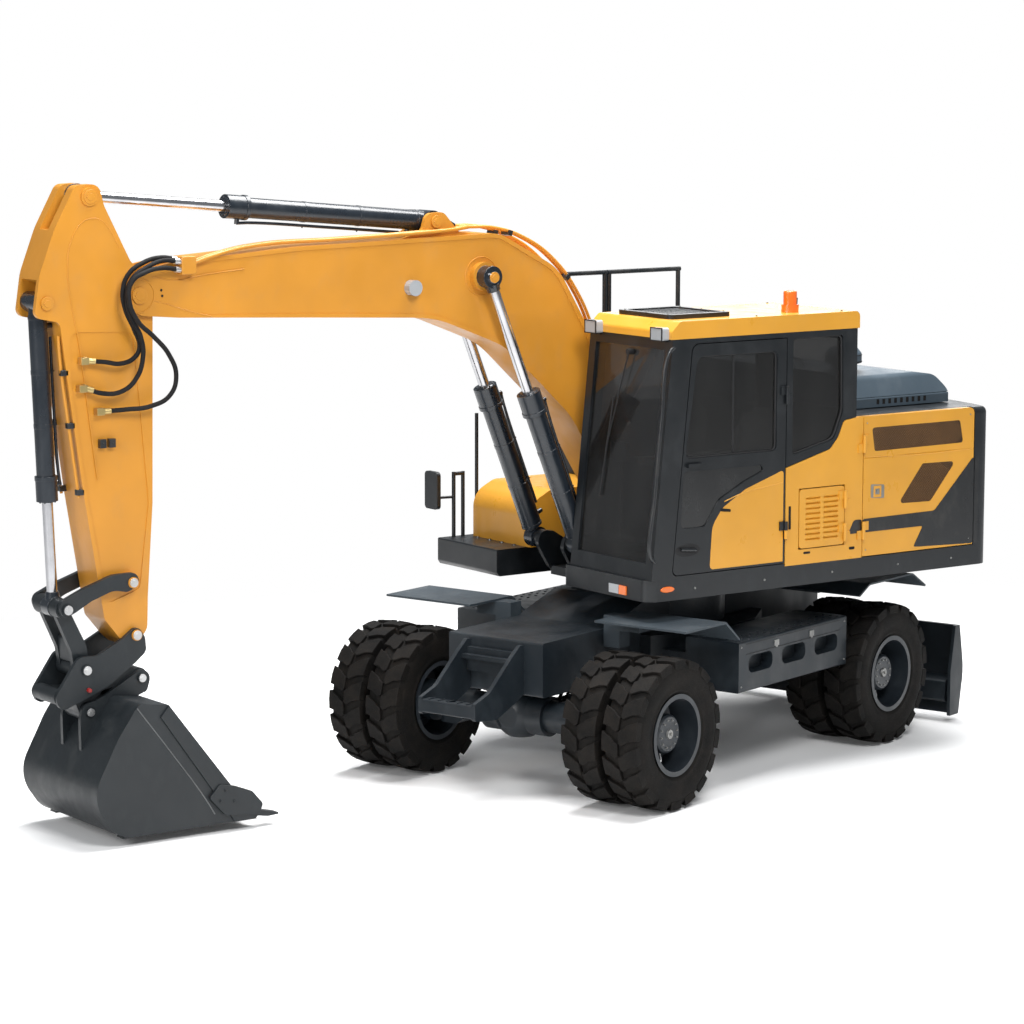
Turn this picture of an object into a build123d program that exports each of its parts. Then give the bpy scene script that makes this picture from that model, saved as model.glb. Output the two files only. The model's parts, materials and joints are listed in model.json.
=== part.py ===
"""A 14-tonne class wheeled excavator on twin tyres, built as separate pieces.

Millimetres, +Z up. The house (the slewing upper structure) is lined up with the axes:
+X is forward along the boom and +Y is the operator's left. The chassis stands turned by
CHASSIS_YAW under it. Every dimension is measured from the slew axis at ground level, and
the finished pieces are moved by ORIGIN, so that zero lies under the middle of the machine.
"""
from build123d import *
import os
from math import atan2, cos, degrees, hypot, pi, radians, sin, sqrt, tan

os.makedirs("parts", exist_ok=True)

# ------------------------------------------------------------------ driving dimensions
ORIGIN = (1150, -30, 0)         # from the slew axis to the middle of the machine
CHASSIS_YAW = 17.7              # the chassis under the house, degrees about the slew axis

PIN_GAP = 0.05                  # radial clearance of a pin in a bore that turns
SEAT_GAP = 0.3                  # faces that slide past each other at a pin
MOVE_GAP = 7                    # other moving pieces

# wheels, 10.00-20 twins
TYRE_R = 505
TYRE_W = 275
TWIN_PITCH = 322
RIM_R = 254
OUTER_TYRE_Y = 1139             # middle of the outer tyre
FRONT_AXLE_X = 1530
REAR_AXLE_X = -1190
AXLE_Z = TYRE_R
KINGPIN_Y = 600
AXLE_TUBE_R = 105

# chassis
BEAM_HALF = 390
BEAM_BOTTOM = AXLE_Z + 185
BEAM_TOP = BEAM_BOTTOM + 365
BEAM_FRONT = 1820
BEAM_REAR = -1600
TOWER_R = 520
TOWER_TOP = BEAM_TOP + 181
STEP_X = 690                    # half length of the tool boxes between the wheels
STEP_Y = 1190
STEP_INNER = 760
FENDER_Z = 2 * TYRE_R + 160

# house
BELT_BOTTOM = TOWER_TOP + 72
DECK_Z = BELT_BOTTOM + 143
HOUSE_HALF = 1245
TAIL_X = -2050
TAIL_BULGE = 150
SIDE_TOP = 2428
WALL = 45
COUNTER_X = -1905               # where the side panels end and the counterweight begins

# cab
CAB_RIGHT = 345
CAB_REAR = -800
CAB_TOP = 3040
CAB_FRONT_LOW = 965
CAB_FRONT_HIGH = 800
ROOF_TOP = 3157
DOOR_REAR = -172
DOOR_T = 48

# boom, arm and linkage: places of the pins
BOOM_FOOT = (250, 1800)
BOOM_TIP = (4177, 3408)
BOOM_HALF = 165
ARM_HALF = 130
ARM_TIP = (4230, 1271)
ARM_EYE = (4500, 4030)          # rod eye of the arm cylinder, on the arm
ARM_BASE = (1905, 3795)         # foot of the arm cylinder, on the boom
LIFT_BASE = (820, 1560)         # foot of the boom cylinders, on the house
LIFT_EYE = (1575, 3425)         # rod eyes of the boom cylinders, on the boom
LIFT_Y = 255
CURL_BASE = (4805, 3385)        # foot of the bucket cylinder, on the arm
CURL_EYE = (4728, 1482)         # rod eye of the bucket cylinder
TIP_PIN = (4262, 1612)          # tipping links on the arm
LINK_PIN = (4588, 1083)         # connecting link on the coupler
BUCKET_PIN_A = (4180, 987)
BUCKET_PIN_B = (4552, 808)
BUCKET_HALF = 490

# widths and thicknesses across the pins
PIN_R = 35
BIG_PIN_R = 45
CHEEK_T = 30
LIFT_EYE_W = 90
LIFT_BOSS_R = 95
ARM_FOOT_W = 160
ARM_EYE_W = 110
CURL_FOOT_W = 196
CURL_EYE_W = 100
TIP_LINK_IN = 152
TIP_LINK_T = 38
COUPLER_IN = 137
COUPLER_T = 30
LIFT_LUG_Y = 128
BUCKET_PIN_R = 30

# dozer blade
BLADE_HALF = 1250
BLADE_TOP = 715
BLADE_BOTTOM = 52
BLADE_FACE = -2170
BLADE_PIVOT = (-1640, 500)


# ------------------------------------------------------------------ helpers
def box(x0, x1, y0, y1, z0, z1):
    """A box between two corners."""
    centre = ((x0 + x1) / 2, (y0 + y1) / 2, (z0 + z1) / 2)
    return Pos(*centre) * Box(abs(x1 - x0), abs(y1 - y0), abs(z1 - z0))


def corner(before, point, after, radius):
    """The two tangent points and the middle of the arc that rounds one corner."""
    ux, uy = before[0] - point[0], before[1] - point[1]
    vx, vy = after[0] - point[0], after[1] - point[1]
    lu, lv = hypot(ux, uy), hypot(vx, vy)
    ux, uy, vx, vy = ux / lu, uy / lu, vx / lv, vy / lv
    half = atan2(abs(ux * vy - uy * vx), ux * vx + uy * vy) / 2
    reach = min(radius / tan(half), 0.49 * min(lu, lv))
    radius = reach * tan(half)
    start = (point[0] + ux * reach, point[1] + uy * reach)
    end = (point[0] + vx * reach, point[1] + vy * reach)
    bx, by = ux + vx, uy + vy
    lb = hypot(bx, by)
    deep = radius / sin(half) - radius
    middle = (point[0] + bx / lb * deep, point[1] + by / lb * deep)
    return start, middle, end


def outline_face(outline, place):
    """A face bounded by (u, v) corners, or (u, v, radius) where the corner is rounded."""
    count = len(outline)
    edges = []
    last = None
    first = None
    for i in range(count):
        point = outline[i]
        before, after = outline[i - 1], outline[(i + 1) % count]
        if len(point) == 3 and point[2] > 0:
            start, middle, end = corner(before, point, after, point[2])
            arc = Edge.make_three_point_arc(place(*start), place(*middle), place(*end))
        else:
            start = end = point[:2]
            arc = None
        if last is not None:
            edges.append(Edge.make_line(place(*last), place(*start)))
        else:
            first = start
        if arc is not None:
            edges.append(arc)
        last = end
    edges.append(Edge.make_line(place(*last), place(*first)))
    return Face(Wire(edges))


def prism(outline, axis, start, end):
    """An outline drawn across one axis and pushed along it from start to end.

    The outline's two numbers are (y, z) across x, (x, z) across y and (x, y) across z.
    """
    places = {
        "x": lambda u, v: Vector(start, u, v),
        "y": lambda u, v: Vector(u, start, v),
        "z": lambda u, v: Vector(u, v, start),
    }
    ways = {"x": (1, 0, 0), "y": (0, 1, 0), "z": (0, 0, 1)}
    face = outline_face(outline, places[axis])
    way = ways[axis] if end > start else tuple(-w for w in ways[axis])
    return extrude(face, amount=abs(end - start), dir=way)


def rod(a, b, radius):
    """A round bar between two points in space."""
    line = Vector(*b) - Vector(*a)
    return Plane(origin=a, z_dir=line) * Cylinder(radius, line.length,
                                                 align=(Align.CENTER, Align.CENTER, Align.MIN))


def pin(place, radius, y0, y1):
    """A round bar along Y at an (x, z) place."""
    return rod((place[0], y0, place[1]), (place[0], y1, place[1]), radius)


def post(x, y, radius, z0, z1):
    """A round bar along Z."""
    return rod((x, y, z0), (x, y, z1), radius)


def both_sides(shape):
    """The shape and its mirror image across the machine's middle."""
    return shape + mirror(shape, about=Plane.XZ)


def turned(section, centre_x, centre_z):
    """A ring turned about an axis along Y, from (y, r) corners of its section."""
    face = outline_face(section, lambda y, r: Vector(centre_x, y, centre_z + r))
    return revolve(face, axis=Axis((centre_x, 0, centre_z), (0, 1, 0)), revolution_arc=360)


def along(a, b, t):
    """The (x, z) place a length t from a towards b."""
    d = hypot(b[0] - a[0], b[1] - a[1])
    return (a[0] + (b[0] - a[0]) * t / d, a[1] + (b[1] - a[1]) * t / d)


def gap(a, b):
    return hypot(b[0] - a[0], b[1] - a[1])


def at_y(place, y):
    return (place[0], y, place[1])


NODES = {}


def keep(name, shape, on_chassis=False):
    """Store a finished node, turned with the chassis where it belongs to it."""
    if on_chassis:
        shape = Rot(0, 0, CHASSIS_YAW) * shape
    NODES[name] = Pos(-ORIGIN[0], -ORIGIN[1], -ORIGIN[2]) * shape


# ------------------------------------------------------------------ wheels
INNER_TYRE_Y = OUTER_TYRE_Y - TWIN_PITCH
TWIN_MIDDLE = OUTER_TYRE_Y - TWIN_PITCH / 2
RIM_HALF = TYRE_W / 2 - 22      # half width of a rim between its flanges
FLANGE_R = RIM_R + 18
HUB_R = 150
HUB_END = OUTER_TYRE_Y + 60
SPINDLE_R = 62


FACETS = 24                     # flat facets round a tyre
LUGS = 16                       # tread lugs on each shoulder
LUG_DEPTH = 26
# one lug seen from outside the tread: (along the tread, from the tyre's middle towards a shoulder)
LUG_PLAN = [(-58, 1.0), (20, 1.0), (44, 0.48), (74, 0.03), (6, -0.05), (-34, 0.42)]


def faceted_ring(steps):
    """A round solid about Y in flat facets, through (y, radius) steps."""
    turns = [2 * pi * (i + 0.5) / FACETS for i in range(FACETS)]
    faces = []
    for y, r in steps:
        corners = [Vector(r * cos(t), y, r * sin(t)) for t in turns]
        faces.append(Face(Wire.make_polygon(corners, close=True)))
    return loft(faces, ruled=True)


def tyre_at_origin():
    """One tyre: bead, bulged side walls, and two rows of slanted lugs half a pitch apart."""
    half = TYRE_W / 2
    bead = RIM_HALF - 2
    base = TYRE_R - LUG_DEPTH
    ring = faceted_ring([(-bead, RIM_R + 22), (-half, (RIM_R + TYRE_R) / 2 + 5), (-half + 16, base),
                         (half - 16, base), (half, (RIM_R + TYRE_R) / 2 + 5), (bead, RIM_R + 22)])
    bore = (RIM_R + SEAT_GAP) / cos(pi / FACETS)
    ring = ring - faceted_ring([(-half, bore), (half, bore)])
    reach = half - 5
    top = sqrt(TYRE_R ** 2 - 74 ** 2)
    plan = [(along_tread, side * reach) for along_tread, side in LUG_PLAN]
    lug = prism(plan, "z", base - 42, top)
    other = mirror(lug, about=Plane.XZ)
    lugs = []
    for i in range(LUGS):
        lugs.append(Rot(0, 360 / LUGS * i, 0) * lug)
        lugs.append(Rot(0, 360 / LUGS * (i + 0.5), 0) * other)
    return ring.fuse(*lugs)


def rims(x):
    """Both rims of a twin wheel, bolted back to back on one hub, as one turned piece."""
    well = RIM_R - 14
    out_edge = OUTER_TYRE_Y + RIM_HALF + 12
    in_edge = INNER_TYRE_Y - RIM_HALF - 12
    section = [
        (in_edge, FLANGE_R), (in_edge + 12, RIM_R),
        (INNER_TYRE_Y + RIM_HALF, RIM_R), (INNER_TYRE_Y + RIM_HALF + 12, FLANGE_R),
        (TWIN_MIDDLE, HUB_R + 60),
        (OUTER_TYRE_Y - RIM_HALF - 12, FLANGE_R), (OUTER_TYRE_Y - RIM_HALF, RIM_R),
        (out_edge - 12, RIM_R), (out_edge, FLANGE_R),
        (out_edge, well), (OUTER_TYRE_Y - RIM_HALF + 30, well),
        (TWIN_MIDDLE + 36, HUB_R), (HUB_END - 14, HUB_R - 22), (HUB_END, HUB_R - 36),
        (HUB_END, 0), (TWIN_MIDDLE + 10, 0),
        (TWIN_MIDDLE + 10, SPINDLE_R + PIN_GAP), (TWIN_MIDDLE - 70, SPINDLE_R + PIN_GAP),
        (TWIN_MIDDLE - 70, HUB_R), (TWIN_MIDDLE - 36, HUB_R),
        (INNER_TYRE_Y + RIM_HALF - 30, well), (in_edge, well),
    ]
    return turned(section, x, AXLE_Z)


def wheel_sets():
    places = [("front_left", FRONT_AXLE_X, 1), ("front_right", FRONT_AXLE_X, -1),
              ("rear_left", REAR_AXLE_X, 1), ("rear_right", REAR_AXLE_X, -1)]
    one = tyre_at_origin()
    for name, x, side in places:
        tyres = Pos(x, OUTER_TYRE_Y, AXLE_Z) * one + Pos(x, INNER_TYRE_Y, AXLE_Z) * one
        discs = rims(x)
        if side < 0:
            tyres = mirror(tyres, about=Plane.XZ)
            discs = mirror(discs, about=Plane.XZ)
        keep(name + "_tyres", tyres, on_chassis=True)
        keep(name + "_rims", discs, on_chassis=True)


# ------------------------------------------------------------------ axles and knuckles
FORK_GAP = 85                   # half height of the knuckle between the axle's fork arms
FORK_T = 45
FORK_END_R = 66                 # round ends of the fork arms, inside the tyre's swing
KINGPIN_R = 28
SPINDLE_END = TWIN_MIDDLE


def axle_body(x, half_length):
    """Differential bulge, tapered tubes and the propeller shaft's flange."""
    bulge = Pos(x, 0, AXLE_Z) * Sphere(178)
    bulge = bulge & box(x - 160, x + 160, -178, 178, AXLE_Z - 155, AXLE_Z + 178)
    tube = rod((x, -half_length, AXLE_Z), (x, half_length, AXLE_Z), AXLE_TUBE_R)
    collar = rod((x, -250, AXLE_Z), (x, 250, AXLE_Z), AXLE_TUBE_R + 30)
    return bulge + tube + collar


def propeller_shaft(x, toward):
    """Flange and shaft from the differential towards the gearbox under the middle."""
    start = x + toward * 150
    end = toward * -1 * 260
    flange = rod((start, 0, AXLE_Z), (start + toward * 60, 0, AXLE_Z), 62)
    shaft = rod((start, 0, AXLE_Z), (end, 0, AXLE_Z), 38)
    return flange + shaft


def front_axle():
    x = FRONT_AXLE_X
    inner = KINGPIN_Y - 96
    body = axle_body(x, inner + 5)
    yoke_z = FORK_GAP + FORK_T
    yoke = prism([(inner - 60, AXLE_Z - AXLE_TUBE_R + 15), (inner, AXLE_Z - yoke_z, 20),
                  (KINGPIN_Y, AXLE_Z - yoke_z), (KINGPIN_Y, AXLE_Z - FORK_GAP),
                  (inner + 10, AXLE_Z - FORK_GAP), (inner + 10, AXLE_Z + FORK_GAP),
                  (KINGPIN_Y, AXLE_Z + FORK_GAP), (KINGPIN_Y, AXLE_Z + yoke_z),
                  (inner, AXLE_Z + yoke_z, 20), (inner - 60, AXLE_Z + AXLE_TUBE_R - 15)],
                 "x", x - FORK_END_R, x + FORK_END_R)
    for z in (AXLE_Z - yoke_z, AXLE_Z + FORK_GAP):
        yoke = yoke + post(x, KINGPIN_Y, FORK_END_R, z, z + FORK_T)
    yoke = yoke - post(x, KINGPIN_Y, KINGPIN_R + PIN_GAP, AXLE_Z - 200, AXLE_Z + 200)
    body = body + both_sides(yoke)
    # steering cylinder behind the axle, and the oscillation trunnion under the beam
    cylinder = rod((x - 215, -190, AXLE_Z + 20), (x - 215, 190, AXLE_Z + 20), 42)
    arms = box(x - 215, x - 100, -150, -110, AXLE_Z - 20, AXLE_Z + 60)
    trunnion = box(x - 130, x + 130, -90, 90, AXLE_Z + 150, BEAM_BOTTOM)
    return body + cylinder + both_sides(arms) + trunnion + propeller_shaft(x, -1)


def knuckle(side):
    """Swivel block, round about its kingpin, with the steering arm and the wheel's spindle."""
    x = FRONT_AXLE_X
    z0, z1 = AXLE_Z - FORK_GAP + SEAT_GAP, AXLE_Z + FORK_GAP - SEAT_GAP
    block = post(x, KINGPIN_Y, 62, z0, z1) + box(x - 62, x + 62, KINGPIN_Y, KINGPIN_Y + 150, z0, z1)
    king = post(x, KINGPIN_Y, KINGPIN_R, AXLE_Z - FORK_GAP - FORK_T, AXLE_Z + FORK_GAP + FORK_T)
    brake = rod((x, KINGPIN_Y + 105, AXLE_Z), (x, TWIN_MIDDLE - 70 - MOVE_GAP, AXLE_Z), HUB_R - 12)
    spindle = rod((x, KINGPIN_Y + 105, AXLE_Z), (x, SPINDLE_END, AXLE_Z), SPINDLE_R)
    arm = prism([(x - 50, KINGPIN_Y + 110), (x - 50, KINGPIN_Y + 12), (x - 215, KINGPIN_Y - 45, 15),
                 (x - 262, KINGPIN_Y - 42, 30), (x - 258, KINGPIN_Y + 2, 30)],
                "z", AXLE_Z + 20, AXLE_Z + 55)
    shape = block + king + brake + spindle + arm
    if side < 0:
        shape = mirror(shape, about=Plane.XZ)
    return shape


def rear_axle():
    x = REAR_AXLE_X
    tube_end = TWIN_MIDDLE - 70 - MOVE_GAP
    body = axle_body(x, 560)
    brake = rod((x, 520, AXLE_Z), (x, tube_end, AXLE_Z), HUB_R - 12)
    spindle = rod((x, 520, AXLE_Z), (x, SPINDLE_END, AXLE_Z), SPINDLE_R)
    pads = box(x - 120, x + 120, 180, 330, AXLE_Z + 80, BEAM_BOTTOM)
    gearbox = box(-260, 200, -170, 170, AXLE_Z - 110, BEAM_BOTTOM)
    return body + both_sides(brake + spindle + pads) + propeller_shaft(x, 1) + gearbox


# ------------------------------------------------------------------ chassis
def chassis_frame():
    """Welded beam with a round slew tower, a sloped top and mounts for the axles."""
    side = [(BEAM_FRONT, BEAM_BOTTOM, 15), (BEAM_FRONT, BEAM_TOP, 15), (1050, BEAM_TOP + 5),
            (620, TOWER_TOP - 40), (-620, TOWER_TOP - 40), (-1050, BEAM_TOP + 5),
            (BEAM_REAR, BEAM_TOP, 15), (BEAM_REAR, BEAM_BOTTOM, 15)]
    beam = prism(side, "y", -BEAM_HALF, BEAM_HALF)
    wings = [(700, 480), (700, -480), (330, -660), (-330, -660), (-700, -480),
             (-700, 480), (-330, 660), (330, 660)]
    body = beam + prism(wings, "z", BEAM_BOTTOM + 40, 960)
    tower = post(0, 0, TOWER_R, 900, TOWER_TOP)
    ring = post(0, 0, TOWER_R + 35, TOWER_TOP - 60, TOWER_TOP)
    shape = body + tower + ring
    for x in (560, -560):
        shape = shape + box(x - 60, x + 60, -STEP_INNER, STEP_INNER, 720, 860)
    # brackets for the blade's arms and cylinders at the rear
    px, pz = BLADE_PIVOT
    ear = prism([(px + 40, BEAM_BOTTOM + 60), (px - 75, pz + 20, 60), (px - 20, pz - 78, 60),
                 (px + 75, pz - 40, 60), (px + 290, BEAM_BOTTOM + 10), (px + 290, BEAM_BOTTOM + 60)],
                "y", BLADE_ARM_Y - 37, BLADE_ARM_Y - 7)
    pair = ear + Pos(0, 30 + BLADE_ARM_T + 14, 0) * ear
    shape = shape + both_sides(pair)
    bx, bz = DOZER_BASE
    lug = prism([(BEAM_REAR + 5, bz + 90), (bx - 40, bz + 45, 30), (bx - 40, bz - 45, 30),
                 (BEAM_REAR + 5, bz - 90)], "y", DOZER_Y - 74, DOZER_Y - 52)
    lugs = lug + Pos(0, 126, 0) * lug + pin(DOZER_BASE, 26, DOZER_Y - 76, DOZER_Y + 76)
    shape = shape + both_sides(lugs)
    return shape - pin(BLADE_PIVOT, 30 + PIN_GAP, -500, 500)


def hitch_bracket():
    """Two curved plates and a cross bar in front of the chassis."""
    plate = [(BEAM_FRONT, 700), (BEAM_FRONT, 1030), (1862, 1030, 12), (1950, 965, 40),
             (2190, 765, 160), (2350, 712, 12), (2350, 600, 20), (2120, 575, 30), (1900, 660, 30)]
    one = prism(plate, "y", 205, 235)
    bar = prism([(2255, 612, 10), (2350, 612, 10), (2350, 700, 16), (2255, 700, 16)], "y", -205, 205)
    eye = Pos(2302, 0, 656) * Cylinder(34, 300)
    rung = box(1885, 1925, -205, 205, 912, 940)
    tread = box(BEAM_FRONT, 1862, -205, 205, 820, 980)
    return both_sides(one) + (bar - eye) + tread + rung


def mudguards():
    """Flat front guards on brackets, and rear guards over the rear wheels."""
    y0, y1 = BEAM_HALF + 130, OUTER_TYRE_Y + 111
    post_x0, post_x1 = FRONT_AXLE_X - 520, FRONT_AXLE_X - 400
    top = [(940, FENDER_Z), (1420, FENDER_Z), (1420, FENDER_Z - 14), (945, FENDER_Z - 14),
           (775, FENDER_Z - 150), (768, FENDER_Z - 138)]
    front = prism(top, "y", y0, y1)
    arm = box(post_x0, post_x1, BEAM_HALF, y0 + 160, BEAM_TOP + 5, FENDER_Z - 14)
    web = box(post_x0, post_x1, BEAM_HALF, y0, BEAM_TOP - 115, BEAM_TOP + 5)
    rear_top = [(-760, 1120, 30), (-900, 1190, 60), (-1500, 1190, 60), (-1690, 1080, 20),
                (-1680, 1070), (-1497, 1178, 50), (-903, 1178, 50), (-768, 1110, 20)]
    rear = prism(rear_top, "y", 640, 1250)
    rear_arm = box(-1290, -1110, BEAM_HALF, 700, 1040, 1178)
    return both_sides(front + arm + web) + both_sides(rear + rear_arm)


def step_boxes():
    """Tool boxes that double as steps, one each side between the wheels."""
    side = [(STEP_Y, 640, 12), (STEP_Y, 985, 12), (STEP_INNER, 985, 12), (STEP_INNER, 700, 40),
            (STEP_INNER + 70, 640, 20)]
    body = prism(side, "x", -STEP_X, STEP_X)
    for x in (-420, 0, 420):
        foot = prism([(x - 150, 760, 50), (x + 150, 760, 50), (x + 150, 880, 50), (x - 150, 880, 50)],
                     "y", STEP_Y - 90, STEP_Y + 5)
        body = body - foot
    return both_sides(body)


# ------------------------------------------------------------------ dozer blade
BLADE_ARM_Y = 262
BLADE_ARM_T = 52
DOZER_Y = 130
DOZER_BARREL_R = 45
DOZER_BASE = (BEAM_REAR - 62, 950)      # blade cylinders on the chassis
DOZER_EYE = (BLADE_FACE + 105, 420)     # blade cylinders on the blade


def dozer_blade():
    """Curved mouldboard with end plates, and two arms back to the chassis pivots."""
    face = [(BLADE_FACE, BLADE_BOTTOM), (BLADE_FACE - 30, BLADE_BOTTOM), (BLADE_FACE - 95, 380, 420),
            (BLADE_FACE - 30, BLADE_TOP), (BLADE_FACE, BLADE_TOP), (BLADE_FACE - 60, 380, 420)]
    board = prism(face, "y", -BLADE_HALF, BLADE_HALF)
    back = prism([(BLADE_FACE + 70, 150, 20), (BLADE_FACE + 70, 300, 20), (BLADE_FACE - 55, 330),
                  (BLADE_FACE - 40, 120)], "y", -BLADE_HALF + 60, BLADE_HALF - 60)
    end = prism([(BLADE_FACE - 30, BLADE_BOTTOM), (BLADE_FACE - 95, 380, 420),
                 (BLADE_FACE - 30, BLADE_TOP), (BLADE_FACE + 30, BLADE_TOP),
                 (BLADE_FACE + 95, 380, 60), (BLADE_FACE + 95, BLADE_BOTTOM)],
                "y", BLADE_HALF - 25, BLADE_HALF)
    x0, z0 = BLADE_PIVOT
    arm = prism([(x0 + 60, z0 - 45, 45), (x0 + 60, z0 + 45, 45), (x0 - 60, z0 + 50, 40),
                 (BLADE_FACE + 20, 420, 40), (BLADE_FACE + 20, 160), (BLADE_FACE + 160, 160, 60)],
                "y", BLADE_ARM_Y, BLADE_ARM_Y + BLADE_ARM_T)
    hinge = pin(BLADE_PIVOT, 30, BLADE_ARM_Y - 37, BLADE_ARM_Y + BLADE_ARM_T + 37)
    ex, ez = DOZER_EYE
    lug = prism([(BLADE_FACE - 40, ez + 95), (ex + 30, ez + 55, 40), (ex + 55, ez - 30, 40),
                 (BLADE_FACE - 40, ez - 150)], "y", DOZER_Y - 76, DOZER_Y - 52)
    lugs = lug + Pos(0, 128, 0) * lug
    caps = pin(DOZER_EYE, 34, DOZER_Y + 74, DOZER_Y + 86)
    return board + back + both_sides(end + arm + hinge + lugs + caps)


# ------------------------------------------------------------------ house
def rounded_tail(x_front, x_rear, half, z0, z1, bulge):
    """A block with a bowed rear face and rounded rear corners."""
    top = Vector(x_rear, half, z0)
    bottom = Vector(x_rear, -half, z0)
    bow = Edge.make_three_point_arc(top, Vector(x_rear - bulge, 0, z0), bottom)
    a = Vector(x_front, half, z0)
    b = Vector(x_front, -half, z0)
    wire = Wire([Edge.make_line(a, top), bow, Edge.make_line(bottom, b), Edge.make_line(b, a)])
    block = extrude(Face(wire), amount=z1 - z0, dir=(0, 0, 1))
    corners = [e for e in block.edges().filter_by(Axis.Z) if e.center().X < x_front - 10]
    return fillet(corners, 110)


def house_platform():
    """The belt and deck, the boom brackets and the ring that turns on the chassis."""
    z0, z1 = BELT_BOTTOM, DECK_Z
    rear = rounded_tail(-700, TAIL_X, HOUSE_HALF, z0, z1, TAIL_BULGE)
    left = prism([(-700, CAB_RIGHT - 30), (-700, HOUSE_HALF), (915, HOUSE_HALF, 60),
                  (990, HOUSE_HALF - 60, 60), (990, CAB_RIGHT - 30, 20)], "z", z0, z1)
    middle = box(-700, 560, -470, CAB_RIGHT - 30, z0, z1)
    right = prism([(-700, -470), (430, -470), (430, -HOUSE_HALF), (-700, -HOUSE_HALF)], "z", z0, z1)
    ring = post(0, 0, TOWER_R - 30, TOWER_TOP + SEAT_GAP, z0)
    shape = rear + left + middle + right + ring
    fx, fz = BOOM_FOOT
    plate = [(fx - 420, z1 - 5), (fx - 160, fz + 40, 100), (fx - 60, fz + 120, 120),
             (fx + 110, fz + 100, 110),
             (fx + 200, z1 + 130, 100), (fx + 330, z1 - 5)]
    inner = BOOM_HALF + MOVE_GAP
    cheek = prism(plate, "y", inner, inner + CHEEK_T)
    cheek = cheek - pin(BOOM_FOOT, BIG_PIN_R + PIN_GAP, 0, 300)
    lx, lz = LIFT_BASE
    lug = prism([(lx - 320, z1 - 5), (lx - 60, lz + 50, 60), (lx + 45, lz + 62, 60), (lx + 75, lz - 30, 60),
                 (lx - 40, z0 + 30, 60), (540, z0 + 5), (500, z0 + 5)], "y", LIFT_LUG_Y, LIFT_LUG_Y + 36)
    axle = pin(LIFT_BASE, PIN_R, LIFT_LUG_Y, LIFT_Y + LIFT_EYE_W / 2 + 8)
    collar = pin(LIFT_BASE, 58, LIFT_LUG_Y, LIFT_Y - LIFT_EYE_W / 2 - SEAT_GAP)
    nose = box(lx - 330, lx - 40, -LIFT_LUG_Y - 2, LIFT_LUG_Y + 2, z0, z0 + 60)
    return shape + nose + both_sides(cheek + lug + axle + collar)


def counterweight():
    """Heavy tail block with a bowed face and a chamfered lower rim."""
    gap_front = SEAT_GAP
    block = rounded_tail(COUNTER_X - gap_front, TAIL_X, HOUSE_HALF, DECK_Z, SIDE_TOP, TAIL_BULGE)
    rim = [e for e in block.edges() if e.center().Z > SIDE_TOP - 1 and e.center().X < COUNTER_X - 60]
    block = fillet(rim, 45)
    hx, hz = HOOD_HINGE
    for y in HOOD_HINGE_Y:
        eye = pin(HOOD_HINGE, HINGE_R, y, y + HINGE_H) + box(hx - 12, hx + 12, y, y + HINGE_H, SIDE_TOP, hz)
        block = block + (eye - pin(HOOD_HINGE, HINGE_PIN_R + PIN_GAP, y - 5, y + HINGE_H + 5))
    return block


SIDE_T = WALL
HINGE_OUT = 15                  # a door's hinge line stands this far outside the panel
HINGE_R = 13
HINGE_PIN_R = 7
HINGE_H = 60


def hinge_knuckles(x, side, away, levels):
    """Fixed halves of a door's hinges: an eye on a strap that reaches the fixed panel."""
    y = side * (HOUSE_HALF + HINGE_OUT)
    shape = None
    for z in levels:
        eye = post(x, y, HINGE_R, z, z + HINGE_H)
        strap = box(x, x + away * 50, y - side * HINGE_OUT, y - side * 5, z, z + HINGE_H)
        hole = post(x, y, HINGE_PIN_R + PIN_GAP, z - 5, z + HINGE_H + 5)
        one = eye + strap - hole
        shape = one if shape is None else shape + one
    return shape


def hinge_pins(x, side, away, levels):
    """Moving halves: a pin through each fixed eye, carried by a strap above it."""
    y = side * (HOUSE_HALF + HINGE_OUT)
    shape = None
    for z in levels:
        top = z + HINGE_H + SEAT_GAP
        one = post(x, y, HINGE_PIN_R, z - 6, top + 1) + post(x, y, HINGE_R, top, top + HINGE_H)
        one = one + box(x, x + away * 50, y - side * HINGE_OUT, y - side * 5, top, top + HINGE_H)
        shape = one if shape is None else shape + one
    return shape


LOUVRE_DOOR = (-700, -300, 1560, 1965)       # x0, x1, z0, z1 of the small service door
ENGINE_DOOR_FRONT = -868
CAB_DOOR_HINGES = (1640, 2560)
SERVICE_HINGES = (1585, 1810)
ENGINE_HINGES = (1580, 2180)


def left_side_panel():
    """Fixed painted panel from the cab door to the engine door."""
    y0, y1 = HOUSE_HALF - SIDE_T, HOUSE_HALF
    edge = [(DOOR_REAR - MOVE_GAP, DECK_Z), (DOOR_REAR - MOVE_GAP, 2122), (-566, 2223, 60),
            (-640, 2300, 60), (-690, 2412, 40), (-815, SIDE_TOP), (ENGINE_DOOR_FRONT + 3, SIDE_TOP),
            (ENGINE_DOOR_FRONT + 3, DECK_Z)]
    panel = prism(edge, "y", y0, y1)
    x0, x1, z0, z1 = LOUVRE_DOOR
    opening = box(x0 - MOVE_GAP, x1 + MOVE_GAP, y0 - 5, y1 + 5, z0 - MOVE_GAP, z1 + MOVE_GAP)
    panel = panel - opening
    panel = panel + hinge_knuckles(DOOR_REAR, 1, -1, CAB_DOOR_HINGES[:1])
    panel = panel + hinge_knuckles(x0, 1, -1, SERVICE_HINGES)
    return panel + hinge_knuckles(ENGINE_DOOR_FRONT, 1, 1, ENGINE_HINGES)


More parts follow.
